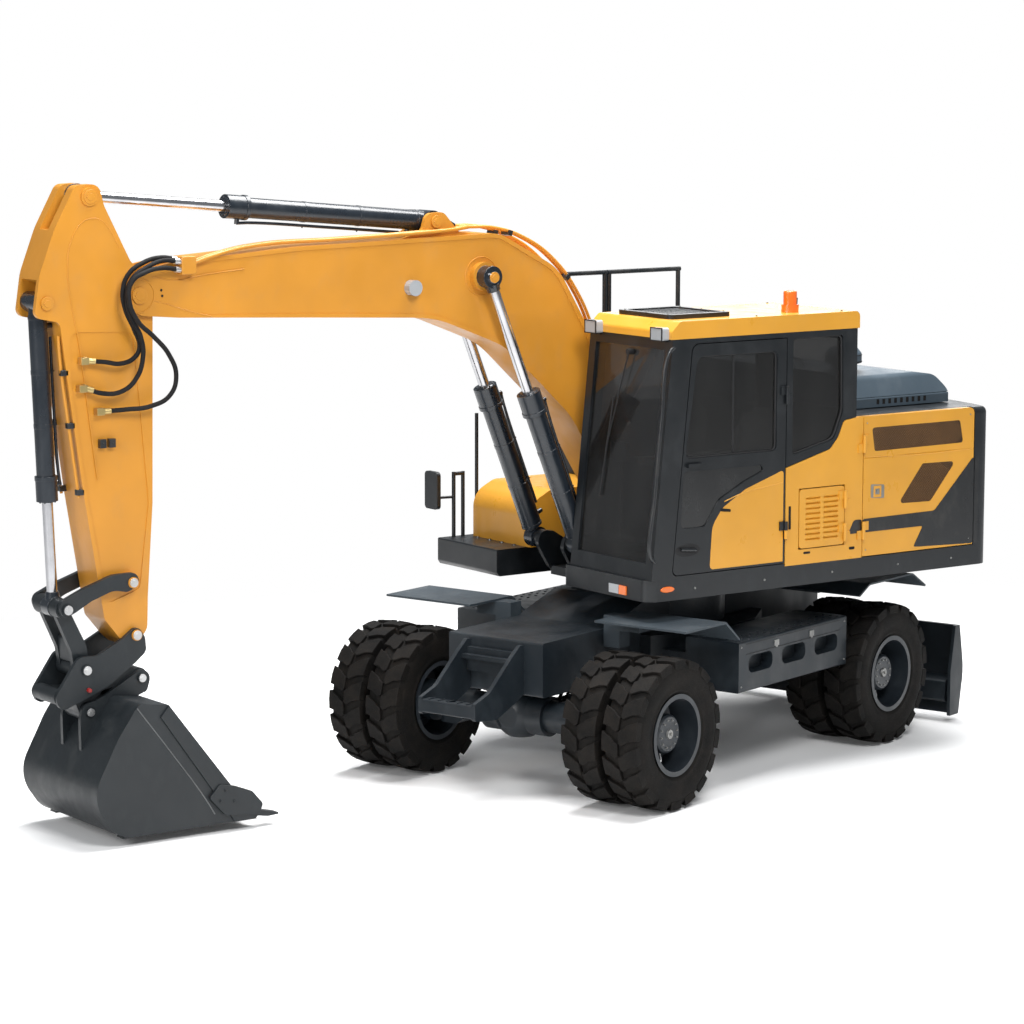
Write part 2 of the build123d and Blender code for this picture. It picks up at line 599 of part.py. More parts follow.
def left_service_door():
    x0, x1, z0, z1 = LOUVRE_DOOR
    y0 = HOUSE_HALF - SIDE_T + 15
    door = prism([(x0, z0, 25), (x1, z0, 25), (x1, z1, 25), (x0, z1, 25)], "y", y0, HOUSE_HALF + 2)
    pitch = (z1 - z0 - 90) / LOUVRES
    for left, right in ((x0 + 55, x0 + 185), (x1 - 185, x1 - 55)):
        for i in range(LOUVRES):
            low = z0 + 50 + pitch * i
            slot = prism([(HOUSE_HALF + 5, low), (HOUSE_HALF + 5, low + 20), (HOUSE_HALF - 12, low + 6)],
                         "x", left, right)
            door = door - slot
    return door + hinge_pins(x0, 1, 1, SERVICE_HINGES)


LOUVRES = 9
GRILLE_DEPTH = 16
# the two grilles of an engine door, as corners (x, z)
UPPER_GRILLE = [(-945, 2346, 20), (-1764, 2346, 20), (-1798, 2186, 20), (-972, 2181, 20)]
LOWER_GRILLE = [(-1417, 2065, 20), (-1729, 2060, 20), (-1496, 1794, 20), (-1198, 1800, 20)]


def grille(outline, step, bar):
    """A recess in a door's outer face, and the slanted bars that cross it."""
    y = HOUSE_HALF
    recess = prism(outline, "y", y - GRILLE_DEPTH, y + 5)
    left = min(p[0] for p in outline)
    right = max(p[0] for p in outline)
    low = min(p[1] for p in outline)
    high = max(p[1] for p in outline)
    rise = high - low
    bars = None
    for i in range(int((right - left + rise) / step)):
        x = left - rise + step * i
        one = prism([(x, low), (x + bar, low), (x + bar + rise, high), (x + rise, high)],
                    "y", y - GRILLE_DEPTH - 1, y - 4)
        bars = one if bars is None else bars + one
    return recess, bars & prism(outline, "y", y - GRILLE_DEPTH - 2, y)


def engine_door(side):
    """Tall side door beside the engine, with its upper edge rounded to the hood."""
    y0, y1 = HOUSE_HALF - SIDE_T, HOUSE_HALF
    low = DECK_Z + MOVE_GAP
    edge = [(ENGINE_DOOR_FRONT - 4, low), (ENGINE_DOOR_FRONT - 4, SIDE_TOP),
            (COUNTER_X + MOVE_GAP, SIDE_TOP, 40), (COUNTER_X + MOVE_GAP, low)]
    door = prism(edge, "y", y0, y1)
    crease = prism([(y1 + 5, 2130), (y1 - 4, 2138), (y1 + 5, 2146)], "x", COUNTER_X, ENGINE_DOOR_FRONT)
    door = door - crease
    for outline in (UPPER_GRILLE, LOWER_GRILLE):
        recess, bars = grille(outline, 62, 14)
        door = door - recess + bars
    latch = box(-1035, -965, y1 - 1, y1 + 4, 1860, 1940) - box(-1020, -980, y1 + 1, y1 + 6, 1880, 1920)
    door = door + latch + hinge_pins(ENGINE_DOOR_FRONT, 1, -1, ENGINE_HINGES)
    return door if side > 0 else mirror(door, about=Plane.XZ)


def right_side_panel():
    """Fixed panel ahead of the right engine door, beside the pumps."""
    y0, y1 = -HOUSE_HALF, -HOUSE_HALF + SIDE_T
    panel = prism([(PUMP_FRONT, DECK_Z), (PUMP_FRONT, 2200, 120), (-300, SIDE_TOP, 120),
                   (ENGINE_DOOR_FRONT + 3, SIDE_TOP), (ENGINE_DOOR_FRONT + 3, DECK_Z)], "y", y0, y1)
    return panel + hinge_knuckles(ENGINE_DOOR_FRONT, -1, 1, ENGINE_HINGES)


def engine_bulkhead():
    """Wall behind the cab, shelves under the hood and the cover over the pumps."""
    z0, z1 = DECK_Z, SIDE_TOP
    inner = HOUSE_HALF - SIDE_T
    wall = box(CAB_REAR - 65, CAB_REAR - 20, -inner, inner, z0, z1)
    shelf = box(COUNTER_X, CAB_REAR - 30, 850, inner - MOVE_GAP, z1 - 40, z1)
    cover = prism([(PUMP_FRONT, z0), (PUMP_FRONT, 2200, 120), (-300, z1, 120), (CAB_REAR - 30, z1),
                   (CAB_REAR - 30, z1 - 40), (-300, z1 - 40, 100), (PUMP_FRONT - 40, 2190, 90),
                   (PUMP_FRONT - 40, z0)], "y", -inner, -480)
    side = prism([(PUMP_FRONT, z0), (PUMP_FRONT, 2200, 120), (-300, z1, 120), (CAB_REAR - 30, z1),
                  (CAB_REAR - 30, z0)], "y", -520, -480)
    return wall + both_sides(shelf) + cover + side


PUMP_FRONT = -60
HOOD_X = (COUNTER_X - 60, -1000)
HOOD_HINGE = (HOOD_X[0] - 15, SIDE_TOP + 15)
HOOD_HINGE_Y = (-660, 540)


def air_cleaner_dome(z):
    """Round cap of the air intake, on a short neck."""
    face = outline_face([(0, z - 5), (85, z - 5), (85, z + 45), (128, z + 60), (128, z + 125, 30),
                         (90, z + 172, 40), (0, z + 176)], lambda r, v: Vector(-1185 + r, 660, v))
    return revolve(face, axis=Axis((-1185, 660, 0), (0, 0, 1)), revolution_arc=360)


def engine_hood():
    """Raised dark hood over the engine, with sloped sides and a dome for the filter."""
    x0, x1 = HOOD_X
    z0, z1 = SIDE_TOP + MOVE_GAP, SIDE_TOP + 250
    side = [(-900, z0), (-900, z0 + 60), (-830, z1 - 30, 60), (-700, z1, 60), (700, z1, 60),
            (830, z1 - 30, 60), (900, z0 + 60), (900, z0)]
    hood = prism(side, "x", x0, x1)
    profile = [(x1 + 5, z0 - 5), (x1 + 5, z1 + 5), (-1514, z1 + 2, 200), (-1880, z1 - 48, 120),
               (x0 - 2, z0 + 90, 90), (x0 - 2, z0 - 5)]
    hood = hood & prism(profile, "y", -950, 950)
    for sy in (1, -1):
        crease = prism([(sy * 960, z0 + 62), (sy * 878, z0 + 70), (sy * 960, z0 + 82)], "x", x0 - 5, x1 + 5)
        hood = hood - crease
    hood = hood + air_cleaner_dome(z1)
    hx, hz = HOOD_HINGE
    for y in HOOD_HINGE_Y:
        end = y + HINGE_H + SEAT_GAP
        leaf = box(hx, x0 + 5, end, end + HINGE_H, hz - 5, hz + 5)
        strap = pin(HOOD_HINGE, HINGE_R, end, end + HINGE_H) + leaf
        hood = hood + strap + pin(HOOD_HINGE, HINGE_PIN_R, y - 6, end + 5)
    return hood


def engine_block():
    return box(-1780, -1080, -480, 480, DECK_Z, 2250)


TANK_TOP = 1850


def fuel_tank():
    """Yellow tank on the right, with a rounded front and a domed top."""
    front = 740
    body = prism([(front, DECK_Z, 0), (front, 1760, 160), (560, TANK_TOP, 120), (PUMP_FRONT, TANK_TOP),
                  (PUMP_FRONT, DECK_Z, 0)], "y", -1130, -430)
    return body


def front_step_box():
    """Dark step and battery box ahead of the tank, with its grab rails."""
    x0, x1 = 430, 1000
    body = prism([(x0, 1262, 10), (x1 - 20, 1262, 20), (x1, 1290, 20), (x1, DECK_Z, 10),
                  (x0, DECK_Z, 10)], "y", -1200, -470)
    rail = rod((x1 - 110, -1160, DECK_Z - 10), (x1 - 110, -1160, 1920), 14)
    top = rod((x1 - 110, -1160, 1906), (x1 - 190, -1160, 1906), 14)
    back = rod((x1 - 190, -1160, 1920), (x1 - 190, -1160, DECK_Z - 10), 14)
    pole = rod((690, -1160, DECK_Z - 10), (690, -1160, 2330), 13)
    stalk = rod((x1 - 110, -1160, 1740), (x1 + 30, -1190, 1740), 10)
    head = prism([(-1290, 1660, 30), (-1130, 1660, 30), (-1130, 1930, 30), (-1290, 1930, 30)],
                 "x", x1 + 22, x1 + 52)
    return body + rail + top + back + pole + stalk + head


def handrails():
    """Hoops over the right-hand walkway behind the boom."""
    shape = None
    y = -1090
    z = 3300
    # each hoop: front post, its foot, rear post, its foot
    for x0, foot0, x1, foot1 in [(90, TANK_TOP, -400, SIDE_TOP), (-440, SIDE_TOP, -1080, SIDE_TOP)]:
        hoop = rod((x0, y, foot0), (x0, y, z), 17) + rod((x1, y, foot1), (x1, y, z), 17)
        hoop = hoop + rod((x0 + 17, y, z), (x1 - 17, y, z), 17)
        shape = hoop if shape is None else shape + hoop
    return shape


# ------------------------------------------------------------------ cab
def cab_side(inset, low=DECK_Z, high=CAB_TOP):
    """Side view of the cab, smaller by inset all round."""
    slope = (CAB_FRONT_LOW - CAB_FRONT_HIGH) / (CAB_TOP - DECK_Z)
    return [(CAB_REAR + inset, low + inset), (CAB_FRONT_LOW - inset - slope * inset, low + inset),
            (CAB_FRONT_HIGH - inset + slope * inset, high - inset), (CAB_REAR + inset, high - inset)]


PILLAR = 70
DOOR_CLEAR = 6


QUARTER_WINDOW = [(DOOR_REAR - 58, 2205, 20), (DOOR_REAR - 58, 3000, 20), (-670, 3000, 20),
                  (-680, 2480, 60), (-600, 2290, 60)]
RIGHT_WINDOW = [(-640, 2150, 60), (770, 2150, 60), (700, 2950, 60), (-640, 2950, 60)]
DOOR_UPPER = [(-92, 2245, 40), (690, 2245, 40), (590, 2920, 60), (-92, 2920, 40)]
DOOR_LOWER = [(-92, 2160, 30), (700, 2160, 30), (725, 1780, 40), (520, 1780, 40), (400, 1950, 120),
              (178, 2060, 200)]


def cab_frame():
    """Hollow cab cell with its pillars, sills and window openings."""
    y0, y1 = CAB_RIGHT, HOUSE_HALF
    shell = prism(cab_side(0), "y", y0, y1)
    shell = shell - prism(cab_side(WALL), "y", y0 + WALL, y1 - WALL - 10)
    # front window
    front = box(700, 1100, y0 + PILLAR, y1 - PILLAR - 10, 1560, CAB_TOP - 70)
    shell = shell - front
    # right window and rear window
    right = prism(RIGHT_WINDOW, "y", y0 - 5, y0 + WALL + 5)
    rear = box(CAB_REAR - 10, CAB_REAR + WALL + 10, y0 + 110, y1 - 160, 2480, 2960)
    shell = shell - right - rear
    # door opening in the left side
    door = prism(door_outline(-DOOR_CLEAR), "y", y1 - WALL - 30, y1 + 5)
    quarter = prism(QUARTER_WINDOW, "y", y1 - WALL - 30, y1 + 5)
    shell = shell - door - quarter
    # the painted panel covers the cab's lower rear corner
    under = prism([(DOOR_REAR - 2, DECK_Z - 5), (DOOR_REAR - 2, 2126), (-566, 2227, 60),
                   (-636, 2304, 60), (-686, 2416, 40), (-815, SIDE_TOP + 3), (-900, SIDE_TOP + 3),
                   (-900, DECK_Z - 5)], "y", y1 - SIDE_T - SEAT_GAP, y1 + 5)
    return shell - under + hinge_knuckles(DOOR_REAR, 1, -1, CAB_DOOR_HINGES[1:])


def door_outline(inset):
    """The cab door seen from the side, smaller by inset all round."""
    slope = (CAB_FRONT_LOW - CAB_FRONT_HIGH) / (CAB_TOP - DECK_Z)
    front_low = CAB_FRONT_LOW - 175
    low, high = DECK_Z + 22, CAB_TOP - 40
    front_high = front_low - slope * (high - low)
    return [(DOOR_REAR + inset, low + inset), (front_low - inset, low + inset, 40),
            (front_high - inset, high - inset, 60), (DOOR_REAR + inset, high - inset)]


# painted skin on the door's lower rear corner, and its thickness
DOOR_SKIN = [(DOOR_REAR + 14, DECK_Z + 36), (476, DECK_Z + 36, 30), (456, 1781, 160), (369, 1895, 120),
             (178, 2005, 200), (DOOR_REAR + 14, 2112, 20)]
DOOR_SKIN_T = 16


def cab_door():
    """Dark door frame with two window openings, hinged at its rear edge."""
    y0, y1 = HOUSE_HALF - DOOR_T, HOUSE_HALF
    door = prism(door_outline(0), "y", y0, y1)
    upper = prism(DOOR_UPPER, "y", y0 - 5, y1 + 5)
    lower = prism(DOOR_LOWER, "y", y0 - 5, y1 + 5)
    skin = prism(DOOR_SKIN, "y", y1 - DOOR_SKIN_T - SEAT_GAP, y1 + 5)
    handle = box(560, 680, y1 - 1, y1 + 26, 2186, 2212) - box(582, 658, y1, y1 + 14, 2180, 2220)
    return door - upper - lower - skin + handle + hinge_pins(DOOR_REAR, 1, 1, CAB_DOOR_HINGES)


def cab_door_panel():
    """The yellow skin, seated in the door's recess."""
    walls = [SEAT_GAP] * len(DOOR_SKIN)
    return prism(inset(DOOR_SKIN, walls), "y", HOUSE_HALF - DOOR_SKIN_T, HOUSE_HALF - SEAT_GAP)


def cab_roof():
    """Yellow roof cap."""
    side = [(CAB_REAR - 20, CAB_TOP), (CAB_REAR - 20, ROOF_TOP, 40),
            (CAB_FRONT_HIGH - 60, ROOF_TOP, 40), (CAB_FRONT_HIGH + 10, 3090, 30),
            (CAB_FRONT_HIGH + 10, CAB_TOP)]
    cap = prism(side, "y", CAB_RIGHT + 10, HOUSE_HALF)
    return cap


HATCH = (180, 700, 500, 1090)   # x0, x1, y0, y1 of the roof hatch


def roof_hatch():
    """Raised dark frame of the roof window, with a sunk pane."""
    x0, x1, y0, y1 = HATCH
    lid = prism([(x0, y0, 40), (x1, y0, 40), (x1, y1, 40), (x0, y1, 40)], "z", ROOF_TOP, ROOF_TOP + 30)
    well = prism([(x0 + 45, y0 + 45, 25), (x1 - 45, y0 + 45, 25), (x1 - 45, y1 - 45, 25),
                  (x0 + 45, y1 - 45, 25)], "z", ROOF_TOP + 18, ROOF_TOP + 35)
    return lid - well


def cab_glass():
    """The fixed panes, each standing in the thickness of the frame."""
    y0, y1 = CAB_RIGHT, HOUSE_HALF
    t = 6
    slope = (CAB_FRONT_LOW - CAB_FRONT_HIGH) / (CAB_TOP - DECK_Z)

    def front_x(z):
        return CAB_FRONT_LOW - slope * (z - DECK_Z) - 18

    lo, hi = 1560, CAB_TOP - 70
    front = prism([(front_x(lo), lo), (front_x(hi), hi), (front_x(hi) - t, hi), (front_x(lo) - t, lo)],
                  "y", y0 + PILLAR, y1 - PILLAR - 10)
    right = prism(RIGHT_WINDOW, "y", y0 + 15, y0 + 15 + t)
    rear = box(CAB_REAR + 15, CAB_REAR + 15 + t, y0 + 110, y1 - 160, 2480, 2960)
    quarter = prism(QUARTER_WINDOW, "y", y1 - 25 - t, y1 - 25)
    return front + right + rear + quarter


def door_glass():
    y = HOUSE_HALF - 22
    return prism(DOOR_UPPER, "y", y - 6, y) + prism(DOOR_LOWER, "y", y - 6, y)


def operator_seat():
    """Seat shell on its suspension base, with a console each side."""
    y = (CAB_RIGHT + HOUSE_HALF) / 2
    floor = DECK_Z + WALL
    base = box(-330, 120, y - 200, y + 200, floor, floor + 300)
    return base


def operator_controls():
    y = (CAB_RIGHT + HOUSE_HALF) / 2
    floor = DECK_Z + WALL
    column = rod((620, y, floor + 12), (520, y, floor + 620), 35)
    low, high = (514, y, floor + 645), (510, y, floor + 670)
    rim = rod(low, high, 178) - rod((515, y, floor + 639), (509, y, floor + 676), 152)
    hub = rod((519, y, floor + 600), (511, y, floor + 664), 50)
    spoke = box(495, 530, y - 160, y + 160, floor + 650, floor + 662)
    return column + post(620, y, 80, floor, floor + 30) + hub + spoke + rim


def seat_cushion():
    y = (CAB_RIGHT + HOUSE_HALF) / 2
    z = DECK_Z + WALL + 300 + SEAT_GAP
    cushion = box(-350, 140, y - 245, y + 245, z, z + 110)
    back = prism([(-350, z + 110 - 1), (-200, z + 110 - 1), (-300, z + 700, 50), (-420, z + 700, 50)],
                 "y", y - 235, y + 235)
    return cushion + back


BEACON = (-355, HOUSE_HALF - 190)
ROOF_LAMPS_Y = (CAB_RIGHT + 90, HOUSE_HALF - 90)
BOOM_LAMP = (2139, 3372)


def beacon():
    """Rotating beacon on its base, and the amber indicator in the belt."""
    light = post(*BEACON, 46, ROOF_TOP + 50, ROOF_TOP + 146)
    light = fillet(light.edges().sort_by(Axis.Z)[-1], 14)
    base = post(*BEACON, 60, ROOF_TOP, ROOF_TOP + 51)
    return light + base + box(990, 1000, 935, 1010, 1332, 1392)


def work_lamps():
    """Two lamps at the front of the cab roof and the head lamp in the belt."""
    shape = box(990, 1000, 825, 930, 1332, 1392)
    x = CAB_FRONT_HIGH + 10
    for y in ROOF_LAMPS_Y:
        lamp = prism([(y - 60, CAB_TOP - 8, 18), (y + 60, CAB_TOP - 8, 18), (y + 60, CAB_TOP + 78, 18),
                      (y - 60, CAB_TOP + 78, 18)], "x", x, x + 62)
        shape = shape + lamp
    return shape


def boom_lamp():
    """Round work lamp on the boom's left side plate."""
    return pin(BOOM_LAMP, 52, BOOM_HALF - FLANGE_T + SEAT_GAP, BOOM_HALF + 55)


# ------------------------------------------------------------------ boom and arm
FLANGE_T = 6                    # depth of the side plates behind the flange edges
# the boom's side plate between its flanges
BOOM_PLATE = [(300, 2020, 60), (705, 3000, 860), (965, 3430, 370), (1440, 3680, 270), (3001, 3645),
              (3780, 3592, 60), (3740, 3266, 60), (2950, 3240), (1950, 3192, 900), (1365, 2972, 600),
              (805, 2462, 600), (420, 1860, 60)]
ARM_PLATE = [(4205, 3180, 60), (4650, 3200, 60), (4642, 2880), (4546, 2190), (4416, 1480, 40),
             (4180, 1560, 40), (4108, 2100)]


def boom():
    """Curved box boom with its foot, cylinder bosses, fork and arm-cylinder bracket."""
    fx, fz = BOOM_FOOT
    tx, tz = BOOM_TIP
    side = [(fx - 120, fz - 130, 120), (fx - 140, fz + 90, 150), (677, 3023, 900), (940, 3452, 400),
            (1431, 3708, 300), (3001, 3672), (3900, 3612, 200), (tx + 20, tz + 150, 120),
            (tx + 120, tz, 110), (tx + 10, tz - 125, 110), (3890, 3257, 200), (2950, 3214),
            (1950, 3165, 900), (1382, 2947, 600), (829, 2442, 600), (fx + 150, fz - 60, 150)]
    body = prism(side, "y", -BOOM_HALF, BOOM_HALF)
    fork = ARM_HALF + MOVE_GAP
    body = body - box(tx - 260, tx + 400, -fork, fork, tz - 400, tz + 400)
    # the arm's head swings back into the fork when the arm is stretched out
    body = body - prism([(tx - 250, tz + 20), (tx - 250, tz + 400), (tx - 520, tz + 400),
                         (tx - 440, tz + 130)], "y", -fork, fork)
    # side plates stand back from the edges of the top and bottom plates
    body = body - both_sides(prism(BOOM_PLATE, "y", BOOM_HALF - FLANGE_T, BOOM_HALF + 5))
    lift_half = LIFT_Y - LIFT_EYE_W / 2 - SEAT_GAP
    lift = pin(LIFT_EYE, LIFT_BOSS_R, -lift_half, lift_half)
    ax, az = ARM_BASE
    bracket = prism([(1500, 3690), (1720, 3722, 40), (ax - 60, az + 62, 60), (ax + 75, az + 55, 60),
                     (ax + 110, az - 60, 60), (2250, 3670), (2250, 3600), (1500, 3600)],
                    "y", ARM_FOOT_W / 2 + SEAT_GAP, ARM_FOOT_W / 2 + SEAT_GAP + 30)
    bracket = both_sides(bracket) + pin(ARM_BASE, PIN_R, -ARM_FOOT_W / 2 - 40, ARM_FOOT_W / 2 + 40)
    foot_half = BOOM_HALF + MOVE_GAP + CHEEK_T + 10
    foot = pin(BOOM_FOOT, BIG_PIN_R, -foot_half, foot_half)
    tip = pin(BOOM_TIP, BIG_PIN_R, -BOOM_HALF - 6, BOOM_HALF + 6)
    return body + lift + bracket + foot + tip


def arm():
    """Arm box with the pivot boss, the cylinder ears and the tip boss."""
    tx, tz = ARM_TIP
    side = [(4063, 3263, 60), (4070, 3560, 150), (4204, 3600, 100), (4395, 3971, 60), (4430, 4107, 70),
            (4596, 4100, 60), (4744, 3834, 500), (4850, 3560, 300), (4890, 3300, 50), (4715, 3262, 40),
            (4666, 2878), (4569, 2187), (4436, 1386, 60), (tx + 95, tz - 20, 80),
            (tx, tz - 105, 90), (tx - 100, tz + 30, 80), (4124, 1500), (4081, 2097)]
    body = prism(side, "y", -ARM_HALF, ARM_HALF)
    body = body - both_sides(prism(ARM_PLATE, "y", ARM_HALF - FLANGE_T, ARM_HALF + 5))
    eye_slot = ARM_EYE_W / 2 + SEAT_GAP
    body = body - box(4000, 5000, -eye_slot, eye_slot, ARM_EYE[1] - 200, ARM_EYE[1] + 300)
    foot_slot = CURL_FOOT_W / 2 + SEAT_GAP
    x0, z0 = CURL_BASE
    body = body - prism([(x0 - 95, z0 + 90, 60), (x0 + 200, z0 + 200), (x0 + 200, z0 - 300),
                         (4700, z0 - 300), (x0 - 95, z0 - 60, 20)], "y", -foot_slot, foot_slot)
    body = body - pin(BOOM_TIP, BIG_PIN_R + PIN_GAP, -ARM_HALF - 5, ARM_HALF + 5)
    body = body + pin(CURL_BASE, PIN_R, -ARM_HALF - 10, ARM_HALF + 10)
    caps = pin(ARM_EYE, 58, ARM_HALF - 5, ARM_HALF + 15)
    body = body + both_sides(caps)
    boss = pin(TIP_PIN, 60, -TIP_LINK_IN + SEAT_GAP, TIP_LINK_IN - SEAT_GAP)
    axle = pin(TIP_PIN, PIN_R, -TIP_LINK_IN - TIP_LINK_T - 12, TIP_LINK_IN + TIP_LINK_T + 12)
    tip = pin(ARM_TIP, PIN_R, -COUPLER_IN - COUPLER_T - 12, COUPLER_IN + COUPLER_T + 12)
    return body + boss + axle + tip


# name: foot pin, eye pin, foot to head, barrel radius, rod radius, eye radius, foot width, eye width
CYLINDERS = {
    "lift": (LIFT_BASE, LIFT_EYE, 1160, 70, 37, 72, 90, LIFT_EYE_W),
    "arm": (ARM_BASE, ARM_EYE, 1560, 66, 36, 72, ARM_FOOT_W, ARM_EYE_W),
    "curl": (CURL_BASE, CURL_EYE, 1240, 58, 34, 64, CURL_FOOT_W, CURL_EYE_W),
}
ROD_INSIDE = {"lift": 560, "arm": 420, "curl": 420}


def cylinder(name, y=0):
    """A barrel with its foot and head, and the rod with its eye and the pin it turns on."""
    base, eye, head, radius, rod_r, eye_r, foot_w, eye_w = CYLINDERS[name]
    neck = 150
    start = eye_r + 12
    barrel = rod(at_y(along(base, eye, start), y), at_y(along(base, eye, head - neck + 10), y), radius)
    barrel = barrel + rod(at_y(base, y), at_y(along(base, eye, start + 5), y), min(radius, foot_w / 2) - 2)
    gland = at_y(along(base, eye, head - neck), y)
    barrel = barrel + rod(gland, at_y(along(base, eye, head), y), radius * 1.17)
    barrel = barrel + pin(base, eye_r, y - foot_w / 2, y + foot_w / 2)
    mouth = at_y(along(base, eye, head + 5), y)
    barrel = barrel - rod(at_y(along(base, eye, 110), y), mouth, rod_r + PIN_GAP)
    barrel = barrel - pin(base, PIN_R + PIN_GAP, y - foot_w, y + foot_w)
    stem = rod(at_y(along(base, eye, head - ROD_INSIDE[name]), y), at_y(eye, y), rod_r)
    stem = stem + pin(eye, eye_r, y - eye_w / 2, y + eye_w / 2)
    return barrel, stem


def lift_cylinders():
    left, left_rod = cylinder("lift", LIFT_Y)
    right, right_rod = cylinder("lift", -LIFT_Y)
    caps = pin(LIFT_EYE, 40, LIFT_Y + LIFT_EYE_W / 2 - 5, LIFT_Y + LIFT_EYE_W / 2 + 14)
    return left + right, left_rod + right_rod + both_sides(caps)


def tipping_links():
    """A pair of curved links from the arm to the bucket cylinder's eye."""
    ax, az = TIP_PIN
    ex, ez = CURL_EYE
    link = prism([(ax - 58, az - 10, 55), (ax - 20, az + 62, 50), (4400, 1672, 200), (4620, 1600, 200),
                  (ex + 62, ez + 45, 55), (ex + 30, ez - 62, 55), (ex - 60, ez - 20, 40),
                  (4560, 1520, 150), (4400, 1575, 150), (ax + 40, az - 58, 50)],
                 "y", TIP_LINK_IN, TIP_LINK_IN + TIP_LINK_T)
    link = link - pin(TIP_PIN, PIN_R + PIN_GAP, 0, 400)
    cap = pin(CURL_EYE, 36, TIP_LINK_IN + TIP_LINK_T - 5, TIP_LINK_IN + TIP_LINK_T + 14)
    return both_sides(link + cap)


def connecting_link():
    """H-shaped link from the cylinder's eye down to the coupler."""
    inner = CURL_EYE_W / 2 + SEAT_GAP
    outer = TIP_LINK_IN - SEAT_GAP
    boss = pin(CURL_EYE, 62, inner, outer)
    ex, ez = CURL_EYE
    lx, lz = LINK_PIN
    plate = prism([(ex - 55, ez - 20, 20), (ex + 55, ez - 10, 20), (lx + 75, lz + 120, 150),
                   (lx + 55, lz - 10, 30), (lx - 55, lz - 10, 30), (lx - 30, lz + 150, 150)],
                  "y", 70, 112)
    foot = pin(LINK_PIN, 58, -COUPLER_IN + MOVE_GAP, COUPLER_IN - MOVE_GAP)
    web = prism([(lx + 60, lz + 40, 15), (lx + 75, lz + 200, 15), (lx - 10, lz + 200, 15),
                 (lx - 40, lz + 40, 15)], "y", -72, 72)
    shape = both_sides(boss + plate) + foot + web
    return shape - pin(LINK_PIN, PIN_R + PIN_GAP, -200, 200)


def quick_coupler():
    """Two shaped side plates with a core that grips both bucket pins."""
    px, pz = ARM_TIP
    side = [(px - 62, pz - 20, 55), (px - 10, pz + 64, 55), (px + 90, pz - 10, 60), (4511, 1165, 60),
            (4639, 1172, 70), (4700, 1087, 60), (4810, 930, 60), (4770, 838, 50), (4593, 903, 60),
            (4437, 966, 200), (4240, 1096, 60), (px - 70, pz - 110, 50)]
    plate = prism(side, "y", COUPLER_IN, COUPLER_IN + COUPLER_T)
    plate = plate - pin(ARM_TIP, PIN_R + PIN_GAP, 0, 300)
    link_pin = pin(LINK_PIN, PIN_R, -COUPLER_IN - COUPLER_T - 12, COUPLER_IN + COUPLER_T + 12)
    tail = pin((4755, 925), 52, -COUPLER_IN - 5, COUPLER_IN + 5)
    grip = EAR_IN - 4
    ax, az = BUCKET_PIN_A
    bx, bz = BUCKET_PIN_B
    core = pin(BUCKET_PIN_A, 60, -grip, grip) + pin(BUCKET_PIN_B, 58, -grip, grip)
    core = core + prism([(ax - 58, az - 5), (ax + 55, az - 20), (4440, 930, 60), (bx - 30, bz + 50),
                         (bx + 58, bz), (4660, 930), (4440, 1000, 60), (4270, 1080, 20)], "y", -grip, grip)
    bridge = prism([(4300, 1075, 20), (4440, 1000, 60), (4620, 950, 30), (4700, 960), (4700, 905),
                    (4600, 920, 20), (4440, 968, 60), (4290, 1058, 10)],
                    "y", -COUPLER_IN - 2, COUPLER_IN + 2)
    holes = pin(BUCKET_PIN_A, BUCKET_PIN_R + PIN_GAP, -300, 300)
    holes = holes + pin(BUCKET_PIN_B, BUCKET_PIN_R + PIN_GAP, -300, 300)
    return both_sides(plate) + link_pin + tail + (core + bridge - holes)


EAR_IN = 104
EAR_T = 30
BUCKET_WALL = 18
BUCKET_SIDE = [(3560, 62), (4560, 62, 190), (4745, 330, 240), (4545, 700, 420), (4400, 900, 60),
               (4190, 872)]


def inset(outline, walls):
    """An outline moved inward (towards the enclosed side) by one wall for each edge."""
    count = len(outline)
    lines = []
    for i in range(count):
        a, b = outline[i], outline[(i + 1) % count]
        length = gap(a, b)
        nx, ny = (a[1] - b[1]) / length, (b[0] - a[0]) / length
        t = walls[i]
        lines.append(((a[0] + nx * t, a[1] + ny * t), (b[0] - a[0], b[1] - a[1])))
    moved = []
    for i in range(count):
        (px, py), (ux, uy) = lines[i - 1]
        (qx, qy), (vx, vy) = lines[i]
        s = ((qx - px) * vy - (qy - py) * vx) / (ux * vy - uy * vx)
        corner_point = (px + ux * s, py + uy * s)
        if len(outline[i]) == 3:
            corner_point = corner_point + (max(outline[i][2] - walls[i], 0),)
        moved.append(corner_point)
    return moved


